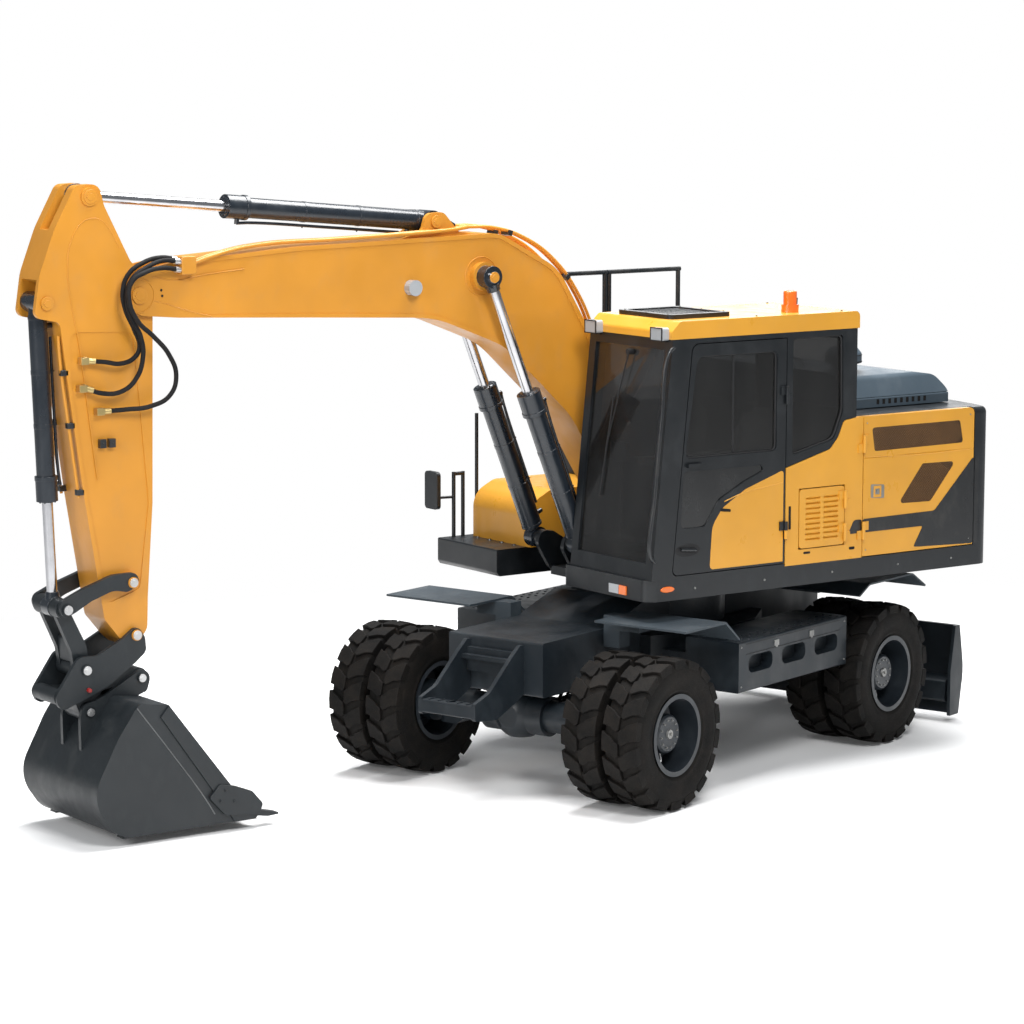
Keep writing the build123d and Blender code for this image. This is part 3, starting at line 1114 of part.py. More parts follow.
def bucket():
    """Open bucket: wrapped shell, side plates, lip, ears and teeth."""
    walls = [BUCKET_WALL] * (len(BUCKET_SIDE) - 1) + [-200]
    outer = prism(BUCKET_SIDE, "y", -BUCKET_HALF, BUCKET_HALF)
    inner = prism(inset(BUCKET_SIDE, walls), "y", -BUCKET_HALF + BUCKET_WALL, BUCKET_HALF - BUCKET_WALL)
    shell = outer - inner
    lip = prism([(3700, 70), (3548, 70), (3548, 88), (3640, 100), (3700, 100)],
                "y", -BUCKET_HALF + 4, BUCKET_HALF - 4)
    ears = prism([(4616, 560), (4620, 760, 60), (4600, 860, 50), (4520, 872, 40), (4440, 905, 60),
                  (4240, 1010, 60), (4180, 1050, 60), (4110, 1000, 60), (4140, 900, 30), (4250, 860)],
                 "y", EAR_IN, EAR_IN + EAR_T)
    pins = pin(BUCKET_PIN_A, BUCKET_PIN_R, -EAR_IN - EAR_T - 14, EAR_IN + EAR_T + 14)
    pins = pins + pin(BUCKET_PIN_B, BUCKET_PIN_R, -EAR_IN - EAR_T - 14, EAR_IN + EAR_T + 14)
    half_wall = [BUCKET_WALL / 2] * (len(BUCKET_SIDE) - 1) + [-200]
    ears = ears - prism(inset(BUCKET_SIDE, half_wall), "y", -200, 200)
    shape = shell + lip + both_sides(ears) + pins
    # side cutters along the open edge, and wear strips under the floor's ends
    cutter = prism([(3560, 64), (3720, 64), (4250, 800), (4190, 868)],
                   "y", BUCKET_HALF - 2, BUCKET_HALF + 12)
    strip = prism([(3900, 56), (4520, 56), (4520, 66), (3900, 66)], "y", BUCKET_HALF - 90, BUCKET_HALF - 10)
    shape = shape + both_sides(cutter + strip)
    tooth = [(3690, 76), (3690, 118), (3600, 130, 20), (3390, 80), (3390, 68), (3470, 64), (3540, 76)]
    for i in range(5):
        y = (i - 2) * (BUCKET_HALF - 42) / 2
        shape = shape + prism(tooth, "y", y - 38, y + 38)
    return shape


def dozer_cylinders():
    """Two short cylinders between the chassis and the blade."""
    base, eye = DOZER_BASE, DOZER_EYE
    head = 370
    barrel = rod(at_y(along(base, eye, 25), DOZER_Y), at_y(along(base, eye, head), DOZER_Y), DOZER_BARREL_R)
    barrel = barrel + pin(base, 46, DOZER_Y - 52 + SEAT_GAP, DOZER_Y + 52 - SEAT_GAP)
    barrel = barrel - rod(at_y(along(base, eye, 70), DOZER_Y), at_y(along(base, eye, head + 5), DOZER_Y),
                          26 + PIN_GAP)
    barrel = barrel - pin(base, 26 + PIN_GAP, 0, 300)
    stem = rod(at_y(along(base, eye, head - 60), DOZER_Y), at_y(eye, DOZER_Y), 26)
    stem = stem + pin(eye, 44, DOZER_Y - 52 + SEAT_GAP, DOZER_Y + 52 - SEAT_GAP)
    return both_sides(barrel), both_sides(stem)


# ------------------------------------------------------------------ build
def build():
    wheel_sets()
    keep("chassis_frame", chassis_frame(), on_chassis=True)
    keep("hitch_bracket", hitch_bracket(), on_chassis=True)
    keep("mudguards", mudguards(), on_chassis=True)
    keep("step_boxes", step_boxes(), on_chassis=True)
    keep("front_axle", front_axle(), on_chassis=True)
    keep("rear_axle", rear_axle(), on_chassis=True)
    keep("left_knuckle", knuckle(1), on_chassis=True)
    keep("right_knuckle", knuckle(-1), on_chassis=True)
    keep("dozer_blade", dozer_blade(), on_chassis=True)
    keep("house_platform", house_platform())
    keep("counterweight", counterweight())
    keep("left_side_panel", left_side_panel())
    keep("left_service_door", left_service_door())
    keep("left_engine_door", engine_door(1))
    keep("right_engine_door", engine_door(-1))
    keep("right_side_panel", right_side_panel())
    keep("engine_hood", engine_hood())
    keep("engine_bulkhead", engine_bulkhead())
    keep("engine_block", engine_block())
    keep("fuel_tank", fuel_tank())
    keep("front_step_box", front_step_box())
    keep("handrails", handrails())
    keep("cab_frame", cab_frame())
    keep("cab_door", cab_door())
    keep("cab_door_panel", cab_door_panel())
    keep("cab_roof", cab_roof())
    keep("cab_glass", cab_glass())
    keep("door_glass", door_glass())
    keep("seat_base", operator_seat())
    keep("seat_cushion", seat_cushion())
    keep("steering_column", operator_controls())
    keep("lamps", beacon())
    keep("work_lamps", work_lamps())
    keep("boom_lamp", boom_lamp())
    keep("roof_hatch", roof_hatch())
    keep("boom", boom())
    keep("arm", arm())
    barrels, rods = lift_cylinders()
    keep("boom_cylinder_barrels", barrels)
    keep("boom_cylinder_rods", rods)
    barrel, stem = cylinder("arm")
    keep("arm_cylinder_barrel", barrel)
    keep("arm_cylinder_rod", stem)
    barrel, stem = cylinder("curl")
    keep("bucket_cylinder_barrel", barrel)
    keep("bucket_cylinder_rod", stem)
    keep("tipping_links", tipping_links())
    keep("connecting_link", connecting_link())
    keep("quick_coupler", quick_coupler())
    keep("bucket", bucket())
    barrels, rods = dozer_cylinders()
    keep("blade_cylinder_barrels", barrels, on_chassis=True)
    keep("blade_cylinder_rods", rods, on_chassis=True)


if __name__ == "__main__":
    build()
    for name, shape in NODES.items():
        export_step(shape, "parts/" + name + ".step")
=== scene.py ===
import json
import math

import bmesh
import bpy
from mathutils import Matrix, Vector


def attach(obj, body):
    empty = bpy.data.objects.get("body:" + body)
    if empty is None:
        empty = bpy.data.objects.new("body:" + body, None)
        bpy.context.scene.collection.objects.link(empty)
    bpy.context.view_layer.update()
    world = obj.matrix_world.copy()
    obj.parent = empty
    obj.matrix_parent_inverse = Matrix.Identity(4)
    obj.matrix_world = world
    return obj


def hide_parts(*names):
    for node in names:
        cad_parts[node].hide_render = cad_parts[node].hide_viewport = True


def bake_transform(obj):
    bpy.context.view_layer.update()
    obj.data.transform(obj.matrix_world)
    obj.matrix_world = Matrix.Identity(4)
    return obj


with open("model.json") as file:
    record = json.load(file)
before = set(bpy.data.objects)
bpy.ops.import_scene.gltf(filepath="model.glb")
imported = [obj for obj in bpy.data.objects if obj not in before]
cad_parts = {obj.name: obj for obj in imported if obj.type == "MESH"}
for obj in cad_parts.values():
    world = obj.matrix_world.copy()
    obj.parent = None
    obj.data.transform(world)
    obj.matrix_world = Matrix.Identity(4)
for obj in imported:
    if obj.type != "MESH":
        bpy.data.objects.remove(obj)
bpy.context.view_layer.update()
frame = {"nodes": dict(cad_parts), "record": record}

# ---- places, in metres
# The house is measured from the slew axis at ground level, +X forward and +Y to the left.
ORIGIN = Vector((1.150, -0.030, 0.0))
CHASSIS_YAW = math.radians(17.7)
CHASSIS_TURN = Matrix.Rotation(CHASSIS_YAW, 3, "Z")

UP = Vector((0, 0, 1))
SIDES = ((1, "left"), (-1, "right"))
SHARP = math.radians(35)         # faces that meet at more than this stay sharp in the shading
SIDE_Y = 1.245                   # outer face of the house's left side
AXLE_Z = 0.505
TYRE_R = 0.505
AXLE_X = {"front": 1.530, "rear": -1.190}
OUTER_TYRE_Y = 1.139
TWIN_PITCH = 0.322


def house(x, y, z):
    """A place on the house, boom, arm or bucket."""
    return Vector((x, y, z)) - ORIGIN


def chassis(x, y, z):
    """A place on the chassis, which stands turned under the house."""
    return CHASSIS_TURN @ Vector((x, y, z)) - ORIGIN


# ---- materials
def node_tree(name):
    """A new material with one principled shader wired to its output."""
    material = bpy.data.materials.new(name)
    material.use_nodes = True
    nodes = material.node_tree.nodes
    nodes.clear()
    output = nodes.new("ShaderNodeOutputMaterial")
    shader = nodes.new("ShaderNodeBsdfPrincipled")
    material.node_tree.links.new(shader.outputs[0], output.inputs[0])
    return material, nodes, material.node_tree.links, shader


def noise(nodes, links, scale, detail=4.0, rough=0.55, stretch=None):
    """Noise in object space, in metres; stretch gives a different scale for each axis."""
    place = nodes.new("ShaderNodeTexCoord")
    texture = nodes.new("ShaderNodeTexNoise")
    put(texture, {"Scale": scale, "Detail": detail, "Roughness": rough})
    if stretch:
        mapping = nodes.new("ShaderNodeMapping")
        mapping.inputs["Scale"].default_value = stretch
        links.new(place.outputs["Object"], mapping.inputs[0])
        links.new(mapping.outputs[0], texture.inputs["Vector"])
    else:
        links.new(place.outputs["Object"], texture.inputs["Vector"])
    return texture.outputs["Fac"]


def ramp(nodes, links, source, stops):
    """Map a value through (position, grey or colour) stops."""
    node = nodes.new("ShaderNodeValToRGB")
    elements = node.color_ramp.elements
    while len(elements) < len(stops):
        elements.new(0.5)
    for element, (position, value) in zip(elements, stops):
        element.position = position
        element.color = (value, value, value, 1) if isinstance(value, float) else (*value, 1)
    links.new(source, node.inputs[0])
    return node.outputs[0]


def drift(nodes, links, source, colour, low, high, dark, light):
    """A colour that drifts from a darker to a lighter tone of itself between two values of the source."""
    return ramp(nodes, links, source, [(low, tuple(c * dark for c in colour)),
                                       (high, tuple(min(c * light, 1) for c in colour))])


def put(node, values):
    """Set a node's own sockets by name."""
    for socket, value in values.items():
        node.inputs[socket].default_value = value


def mix(nodes, links, factor, a, b):
    """Mix two colours; each is a socket or an (r, g, b)."""
    node = nodes.new("ShaderNodeMix")
    node.data_type = "RGBA"
    links.new(factor, node.inputs["Factor"])
    for socket, value in ((node.inputs["A"], a), (node.inputs["B"], b)):
        if isinstance(value, tuple):
            socket.default_value = (*value, 1)
        else:
            links.new(value, socket)
    return node.outputs["Result"]


def bump(nodes, links, shader, height, distance, strength):
    """Relief from a height socket, with its distance in metres."""
    node = nodes.new("ShaderNodeBump")
    put(node, {"Distance": distance, "Strength": strength})
    links.new(height, node.inputs["Height"])
    links.new(node.outputs[0], shader.inputs["Normal"])


def paint(name, colour, rough=0.35, dust=0.25, coat=0.4, peel=0.00004, grime=(0.30, 0.26, 0.21)):
    """Sprayed paint: tone drift, road dust in patches, orange peel."""
    material, nodes, links, shader = node_tree(name)
    tone = drift(nodes, links, noise(nodes, links, 1.7, 3.0), colour, 0.30, 0.70, 0.90, 1.06)
    patches = noise(nodes, links, 5.5, 8.0, 0.65, (1.0, 1.0, 0.6))
    mask = ramp(nodes, links, patches, [(0.52, 0.0), (0.78, dust)])
    base = mix(nodes, links, mask, tone, grime)
    links.new(base, shader.inputs["Base Color"])
    gloss = ramp(nodes, links, patches, [(0.35, rough - 0.06), (0.75, rough + 0.22)])
    links.new(gloss, shader.inputs["Roughness"])
    put(shader, {"Coat Weight": coat, "Coat Roughness": 0.16})
    bump(nodes, links, shader, noise(nodes, links, 260.0, 2.0), peel, 0.6)
    return material


def steel(name, colour, rough, metallic, scale, depth):
    """Bare or blackened metal with fine marks."""
    material, nodes, links, shader = node_tree(name)
    marks = noise(nodes, links, scale, 6.0, 0.6)
    tone = drift(nodes, links, noise(nodes, links, 3.2, 6.0, 0.6), colour, 0.32, 0.68, 0.78, 1.2)
    links.new(tone, shader.inputs["Base Color"])
    gloss = ramp(nodes, links, marks, [(0.3, rough - 0.05), (0.7, rough + 0.12)])
    links.new(gloss, shader.inputs["Roughness"])
    shader.inputs["Metallic"].default_value = metallic
    bump(nodes, links, shader, marks, depth, 0.5)
    return material


def rubber(name, colour, dust_colour, dust):
    """Dull rubber with fine grain and patches of dust."""
    material, nodes, links, shader = node_tree(name)
    patches = noise(nodes, links, 6.0, 9.0, 0.7)
    grains = noise(nodes, links, 150.0, 4.0)
    mask = ramp(nodes, links, patches, [(0.38, 0.0), (0.72, dust)])
    tone = mix(nodes, links, mask, colour, dust_colour)
    links.new(tone, shader.inputs["Base Color"])
    links.new(ramp(nodes, links, grains, [(0.3, 0.62), (0.7, 0.86)]), shader.inputs["Roughness"])
    shader.inputs["Specular IOR Level"].default_value = 0.20
    bump(nodes, links, shader, grains, 0.0006, 0.7)
    return material


def tinted_glass(name, colour, clear):
    """Safety glass: a see-through tint with faint dust; clear is how much shows through."""
    material, nodes, links, shader = node_tree(name)
    streak = noise(nodes, links, 4.0, 6.0, 0.6, (1.0, 1.0, 0.35))
    dusty = tuple(min(c * 1.5 + 0.01, 1) for c in colour)
    shade = ramp(nodes, links, streak, [(0.35, colour), (0.75, dusty)])
    links.new(shade, shader.inputs["Base Color"])
    links.new(ramp(nodes, links, streak, [(0.4, 0.03), (0.8, 0.10)]), shader.inputs["Roughness"])
    put(shader, {"Alpha": 1.0 - clear, "IOR": 1.5, "Coat Weight": 1.0, "Coat Roughness": 0.03})
    return material


def lens(name, colour, glow):
    """Ribbed lamp lens with a faint light of its own."""
    material, nodes, links, shader = node_tree(name)
    place = nodes.new("ShaderNodeTexCoord")
    wave = nodes.new("ShaderNodeTexWave")
    wave.inputs["Scale"].default_value = 45.0
    links.new(place.outputs["Object"], wave.inputs["Vector"])
    tone = ramp(nodes, links, wave.outputs["Fac"], [(0.2, tuple(c * 0.75 for c in colour)), (0.8, colour)])
    links.new(tone, shader.inputs["Base Color"])
    links.new(tone, shader.inputs["Emission Color"])
    put(shader, {"Emission Strength": glow, "Roughness": 0.18, "Coat Weight": 0.8})
    bump(nodes, links, shader, wave.outputs["Fac"], 0.0008, 0.6)
    return material


def moulded(name, colour, rough=0.6):
    """Moulded plastic or rubber with a fine grain."""
    material, nodes, links, shader = node_tree(name)
    tone = drift(nodes, links, noise(nodes, links, 9.0), colour, 0.35, 0.7, 0.85, 1.15)
    links.new(tone, shader.inputs["Base Color"])
    grains = noise(nodes, links, 420.0, 2.0)
    gloss = ramp(nodes, links, grains, [(0.3, rough - 0.08), (0.7, rough + 0.1)])
    links.new(gloss, shader.inputs["Roughness"])
    bump(nodes, links, shader, grains, 0.0003, 0.6)
    return material


def woven(name, colour):
    """Seat cloth: waves along three ways make the weave."""
    material, nodes, links, shader = node_tree(name)
    place = nodes.new("ShaderNodeTexCoord")
    waves = []
    for direction in ("X", "Y", "Z"):
        wave = nodes.new("ShaderNodeTexWave")
        wave.bands_direction = direction
        wave.inputs["Scale"].default_value = 160.0
        links.new(place.outputs["Object"], wave.inputs["Vector"])
        waves.append(wave.outputs["Fac"])
    total = waves[0]
    for wave in waves[1:]:
        join = nodes.new("ShaderNodeMath")
        join.operation = "ADD"
        links.new(total, join.inputs[0])
        links.new(wave, join.inputs[1])
        total = join.outputs[0]
    tone = drift(nodes, links, noise(nodes, links, 60.0), colour, 0.3, 0.7, 0.7, 1.4)
    links.new(tone, shader.inputs["Base Color"])
    put(shader, {"Roughness": 0.92, "Sheen Weight": 0.3})
    bump(nodes, links, shader, total, 0.0006, 0.6)
    return material


YELLOW = (0.69, 0.325, 0.030)
DARK = (0.007, 0.009, 0.011)
LOOK = {
    "body_yellow": paint("body_yellow", YELLOW, 0.32, 0.08, 0.35, 0.00004, (0.36, 0.26, 0.14)),
    "boom_yellow": paint("boom_yellow", (0.62, 0.262, 0.024), 0.40, 0.16, 0.20, 0.00008, (0.30, 0.22, 0.12)),
    "chassis_grey": paint("chassis_grey", (0.010, 0.015, 0.020), 0.42, 0.30, 0.05, 0.0002,
                          (0.050, 0.066, 0.080)),
    "house_grey": paint("house_grey", DARK, 0.34, 0.22, 0.2, 0.00008, (0.055, 0.062, 0.068)),
    "bucket_grey": paint("bucket_grey", (0.012, 0.016, 0.019), 0.42, 0.40, 0.05, 0.0003,
                         (0.050, 0.054, 0.056)),
    "cylinder_black": paint("cylinder_black", (0.010, 0.015, 0.022), 0.26, 0.16, 0.5, 0.00006,
                            (0.05, 0.06, 0.07)),
    "rod_chrome": steel("rod_chrome", (0.62, 0.62, 0.64), 0.14, 1.0, 300.0, 0.00002),
    "tyre_rubber": rubber("tyre_rubber", (0.0032, 0.0030, 0.0028), (0.024, 0.019, 0.015), 0.50),
    "rim_grey": paint("rim_grey", (0.016, 0.021, 0.027), 0.38, 0.30, 0.15, 0.0001, (0.070, 0.082, 0.094)),
    "window_glass": tinted_glass("window_glass", (0.012, 0.0115, 0.011), 0.38),
    "lamp_lens": lens("lamp_lens", (0.80, 0.16, 0.015), 0.25),
    "lamp_clear": lens("lamp_clear", (0.42, 0.44, 0.46), 0.05),
    "seat_fabric": woven("seat_fabric", (0.035, 0.035, 0.04)),
    "seat_plastic": moulded("seat_plastic", (0.030, 0.031, 0.034)),
    "rail_black": paint("rail_black", (0.012, 0.014, 0.016), 0.32, 0.10, 0.4),
    "engine_iron": steel("engine_iron", (0.06, 0.065, 0.07), 0.55, 0.4, 60.0, 0.001),
}
# lighter, bluer greys than the house's and the chassis's: painted sky light on the upward faces of the hood
# and the mudguards; their patches are dust
HOOD_SKYLIT_GREY = paint("hood_skylit_grey", (0.060, 0.085, 0.108), 0.42, 0.30, 0.1, 0.0001, (0.12, 0.15, 0.175))
GUARD_SKYLIT_GREY = paint("guard_skylit_grey", (0.040, 0.054, 0.066), 0.55, 0.45, 0.05, 0.0002, (0.12, 0.135, 0.145))
RUBBER_HOSE = rubber("hose_rubber", (0.010, 0.010, 0.011), (0.040, 0.038, 0.036), 0.30)
BRASS = steel("brass_fitting", (0.60, 0.46, 0.20), 0.32, 0.9, 200.0, 0.0001)
BRIGHT = steel("bright_steel", (0.60, 0.60, 0.60), 0.30, 0.9, 160.0, 0.0002)
SEAL = moulded("door_seal", (0.008, 0.008, 0.009), 0.65)
GLOSS_BLACK = paint("pane_black", (0.006, 0.0065, 0.007), 0.16, 0.10, 0.9, 0.00002, (0.03, 0.03, 0.03))
RED_PAINT = paint("red_cap", (0.30, 0.010, 0.008), 0.35, 0.1)
# near-black stand-in for the shade inside grille openings, hand slots and intake slots: painted shade
OPENING_SHADE = moulded("grille_shadow", (0.006, 0.005, 0.004), 0.9)
STRIPE = paint("stripe_black", (0.010, 0.011, 0.012), 0.30, 0.10, 0.4)
BRIGHT_EDGE = steel("worn_edge", (0.16, 0.165, 0.17), 0.40, 0.7, 120.0, 0.0002)
ZINC_DULL = steel("zinc_dull", (0.34, 0.34, 0.33), 0.42, 0.85, 200.0, 0.0001)
MESH_METAL = steel("mesh_metal", (0.17, 0.085, 0.030), 0.50, 0.3, 120.0, 0.0002)


slot_of = {row["node"]: row["material_slot"] for row in frame["record"]["subparts"]}
# the hood and the mudguards take the lighter greys that paint sky light on their tops
SKYLIT_LOOK = {"engine_hood": HOOD_SKYLIT_GREY, "mudguards": GUARD_SKYLIT_GREY}
for name, thing in frame["nodes"].items():
    look = SKYLIT_LOOK.get(name, LOOK[slot_of[name]])
    for i in range(max(len(thing.data.materials), 1)):
        if thing.data.materials:
            thing.data.materials[i] = look
        else:
            thing.data.materials.append(look)


# ---- mesh helpers
def add_piece(name, bm, body, slot, look=None, edge=0.0, segments=2):
    """Link a mesh as a piece on a body; its look is the slot's own, and edge rounds its edges."""
    mesh = bpy.data.meshes.new(name)
    bmesh.ops.recalc_face_normals(bm, faces=bm.faces)
    bm.to_mesh(mesh)
    bm.free()
    thing = bpy.data.objects.new(name, mesh)
    bpy.context.scene.collection.objects.link(thing)
    mesh.materials.append(look or LOOK[slot])
    mesh.shade_smooth()
    mesh.set_sharp_from_angle(angle=SHARP)
    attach(thing, body)
    if edge:
        soften(thing, edge, segments)
    return thing


def soften(thing, width, segments):
    """Round a piece's edges, so that they catch the light."""
    modifier = thing.modifiers.new("edges", "BEVEL")
    modifier.width = width
    modifier.segments = segments
    modifier.limit_method = "ANGLE"
    modifier.angle_limit = math.radians(40)
    modifier.harden_normals = False


def add_box(bm, low, high, turn=None, middle=None):
    """A box between two local corners, turned and put at middle where these are given."""
    size = [b - a for a, b in zip(low, high)]
    centre = [(a + b) / 2 for a, b in zip(low, high)]
    made = bmesh.ops.create_cube(bm, size=1.0)["verts"]
    for vert in made:
        vert.co = Vector([c * s + m for c, s, m in zip(vert.co, size, centre)])
        if turn is not None:
            vert.co = turn @ vert.co
        if middle is not None:
            vert.co = vert.co + middle


def house_box(bm, low, high):
    """A box between two corners given as places on the house."""
    add_box(bm, low, high, None, -ORIGIN)


def places(place, *points):
    """Turn (x, y, z) points into places on the house or the chassis."""
    return [place(*point) for point in points]


def add_rod(bm, a, b, radius, segments=20, end_radius=None):
    """A round bar between two places, tapered where end_radius is given."""
    line = b - a
    turn = line.to_track_quat("Z", "Y").to_matrix().to_4x4()
    bmesh.ops.create_cone(bm, cap_ends=True, segments=segments, radius1=radius,
                          radius2=radius if end_radius is None else end_radius, depth=line.length,
                          matrix=Matrix.Translation((a + b) / 2) @ turn)


def add_band(bm, a, b, outer, inner, end_outer=None, segments=32):
    """A ring round the line from a to b, open in its middle."""
    turn = (b - a).to_track_quat("Z", "Y").to_matrix()
    far = outer if end_outer is None else end_outer
    loops = []
    for place, radius in ((a, outer), (b, far), (b, inner), (a, inner)):
        row = []
        for i in range(segments):
            angle = 2 * math.pi * i / segments
            spoke = Vector((radius * math.cos(angle), radius * math.sin(angle), 0))
            row.append(bm.verts.new(place + turn @ spoke))
        loops.append(row)
    for k in range(4):
        here, there = loops[k], loops[(k + 1) % 4]
        for i in range(segments):
            j = (i + 1) % segments
            bm.faces.new((here[i], here[j], there[j], there[i]))


def add_bolt(bm, place, normal, size, height):
    """A hexagon head on its washer."""
    add_rod(bm, place, place + normal * (height * 0.35), size * 0.78, 16)
    add_rod(bm, place + normal * (height * 0.3), place + normal * height, size * 0.55, 6)


def mesh_from(name, curve, body, slot, look=None):
    """Turn a curve into a smooth mesh piece; one with no body stays unattached, and its caller bakes its
    transform.
    """
    curve.materials.append(look or LOOK[slot])
    thing = bpy.data.objects.new(name, curve)
    bpy.context.scene.collection.objects.link(thing)
    depsgraph = bpy.context.evaluated_depsgraph_get()
    mesh = bpy.data.meshes.new_from_object(thing.evaluated_get(depsgraph))
    bpy.data.objects.remove(thing)
    solid = bpy.data.objects.new(name, mesh)
    bpy.context.scene.collection.objects.link(solid)
    mesh.shade_smooth()
    if body:
        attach(solid, body)
    return solid


def tube(name, points, radius, body, slot, look=None, resolution=4):
    """A bent pipe or hose along a smooth line through a few given places."""
    curve = bpy.data.curves.new(name, "CURVE")
    curve.dimensions = "3D"
    curve.bevel_depth = radius
    curve.bevel_resolution = resolution
    curve.resolution_u = 10
    curve.use_fill_caps = True
    spline = curve.splines.new("BEZIER")
    spline.bezier_points.add(len(points) - 1)
    for knot, point in zip(spline.bezier_points, points):
        knot.co = point
        knot.handle_left_type = knot.handle_right_type = "AUTO"
    return mesh_from(name, curve, body, slot, look)


# ---- hoses from boom to arm
HOSE_R = 0.015


def fitting(bm, end, inward):
    """A crimped collar and hexagon nut where a hose ends."""
    add_rod(bm, end - inward * 0.006, end + inward * 0.050, 0.020, 16)
    add_rod(bm, end - inward * 0.026, end - inward * 0.004, 0.020 * 1.25, 6)


def boom_arm_hoses():
    """Slack hoses that loop from the boom's tip to the ports on the arm, on the left side."""
    routes = [
        ((3.90, 0.163, 3.622), (4.02, 0.175, 3.640), (4.17, 0.202, 3.613), (4.285, 0.215, 3.540),
         (4.320, 0.215, 3.440), (4.304, 0.212, 3.340), (4.236, 0.205, 3.200), (4.198, 0.200, 3.100),
         (4.225, 0.196, 3.035), (4.320, 0.190, 2.995), (4.440, 0.182, 3.010), (4.545, 0.160, 3.020)),
        ((3.90, 0.205, 3.612), (4.03, 0.218, 3.624), (4.155, 0.238, 3.590), (4.280, 0.250, 3.510),
         (4.312, 0.252, 3.410), (4.280, 0.248, 3.280), (4.212, 0.240, 3.160), (4.192, 0.230, 3.030),
         (4.240, 0.215, 2.890), (4.335, 0.200, 2.820), (4.450, 0.185, 2.815), (4.560, 0.160, 2.850)),
        ((3.90, 0.205, 3.560), (4.05, 0.240, 3.580), (4.190, 0.272, 3.560), (4.300, 0.288, 3.500),
         (4.318, 0.290, 3.400), (4.255, 0.285, 3.260), (4.140, 0.275, 3.160), (4.025, 0.262, 3.040),
         (3.965, 0.245, 2.900), (4.000, 0.225, 2.780), (4.125, 0.205, 2.718), (4.290, 0.180, 2.705),
         (4.440, 0.160, 2.700)),
    ]
    boom_ends, arm_ends = bmesh.new(), bmesh.new()
    for i, route in enumerate(routes):
        points = places(house, *route)
        hose = tube("arm_hose_%d" % (i + 1), points, HOSE_R, None, "rail_black", RUBBER_HOSE)
        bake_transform(hose)
        fitting(boom_ends, points[0], (points[1] - points[0]).normalized())
        inward = (points[-2] - points[-1]).normalized()
        fitting(arm_ends, points[-1], inward)
        x, _, z = route[-1]
        house_box(arm_ends, (x - 0.004, 0.129, z - 0.022), (x + 0.050, 0.180, z + 0.022))
    add_piece("boom_tip_fittings", boom_ends, "boom_body", "rim_grey", BRIGHT, edge=0.001)
    add_piece("arm_side_fittings", arm_ends, "arm_body", "rim_grey", BRASS, edge=0.0015)
    bm = bmesh.new()
    house_box(bm, (3.800, 0.137, 3.530), (3.905, 0.232, 3.645))
    add_piece("boom_tip_manifold", bm, "boom_body", "boom_yellow", edge=0.006)


# ---- tyres
LUGS = 18                        # tread lugs on each shoulder
BEAD_R = 0.2545
# (y from the tyre's middle, radius): one half of the section, from bead to crown
TYRE_SECTION = [(0.106, BEAD_R), (0.116, 0.268), (0.121, 0.284), (0.128, 0.292), (0.1305, 0.297),
                (0.1305, 0.305), (0.129, 0.309), (0.1350, 0.345), (0.1372, 0.375), (0.1365, 0.405),
                (0.1330, 0.432), (0.1315, 0.436), (0.1300, 0.448), (0.1210, 0.468), (0.1040, 0.477),
                (0.0600, 0.480), (0.0, 0.481)]
# one lug from outside the tread: (along the tread, from the tyre's middle towards a shoulder)
LUG_PLAN = [(-0.084, 0.1330), (-0.020, 0.1345), (0.048, 0.1330), (0.053, 0.104), (0.058, 0.078),
            (0.074, 0.052), (0.090, 0.022), (0.076, 0.003), (0.036, 0.001), (-0.008, 0.003),
            (-0.022, 0.030), (-0.050, 0.060), (-0.064, 0.095)]


def tyre(bm, centre):
    """A tyre about the local Y axis: revolved section and two rows of slanted lugs."""
    around = 96
    half = TYRE_SECTION[:-1]
    section = [(-y, r) for y, r in half] + [TYRE_SECTION[-1]] + [(y, r) for y, r in reversed(half)]
    rings = []
    for i in range(around):
        turn = 2 * math.pi * i / around
        rings.append([bm.verts.new(centre + Vector((r * math.sin(turn), y, r * math.cos(turn))))
                      for y, r in section])
    for i in range(around):
        here, there = rings[i], rings[(i + 1) % around]
        for j in range(len(section)):
            k = (j + 1) % len(section)
            bm.faces.new((here[j], here[k], there[k], there[j]))
    for side in (1, -1):
        for i in range(LUGS):
            turn = 2 * math.pi * (i + (0.0 if side > 0 else 0.5)) / LUGS
            tops, feet = [], []
            for along, y in LUG_PLAN:
                angle = turn + along / TYRE_R
                crown = TYRE_R - 0.0012 - 0.010 * (y / 0.135) ** 2
                foot = 0.436 if y > 0.12 else 0.474
                for radius, row in ((crown, tops), (foot, feet)):
                    row.append(bm.verts.new(centre + Vector((radius * math.sin(angle), side * y,
                                                             radius * math.cos(angle)))))
            bm.faces.new(tops)
            bm.faces.new(feet[::-1])
            for j in range(len(tops)):
                k = (j + 1) % len(tops)
                bm.faces.new((tops[j], feet[j], feet[k], tops[k]))


def tyres():
    """Twin tyres in place of each wheel's plain pair."""
    for row in ("front", "rear"):
        for side, word in SIDES:
            bm = bmesh.new()
            for y in (OUTER_TYRE_Y, OUTER_TYRE_Y - TWIN_PITCH):
                tyre(bm, Vector((AXLE_X[row], side * y, AXLE_Z)))
            for vert in bm.verts:
                vert.co = chassis(*vert.co)
            name = "%s_%s" % (row, word)
            piece = add_piece(name + "_tread_tyres", bm, name + "_wheel", "tyre_rubber", edge=0.0035)
            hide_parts(name + "_tyres")


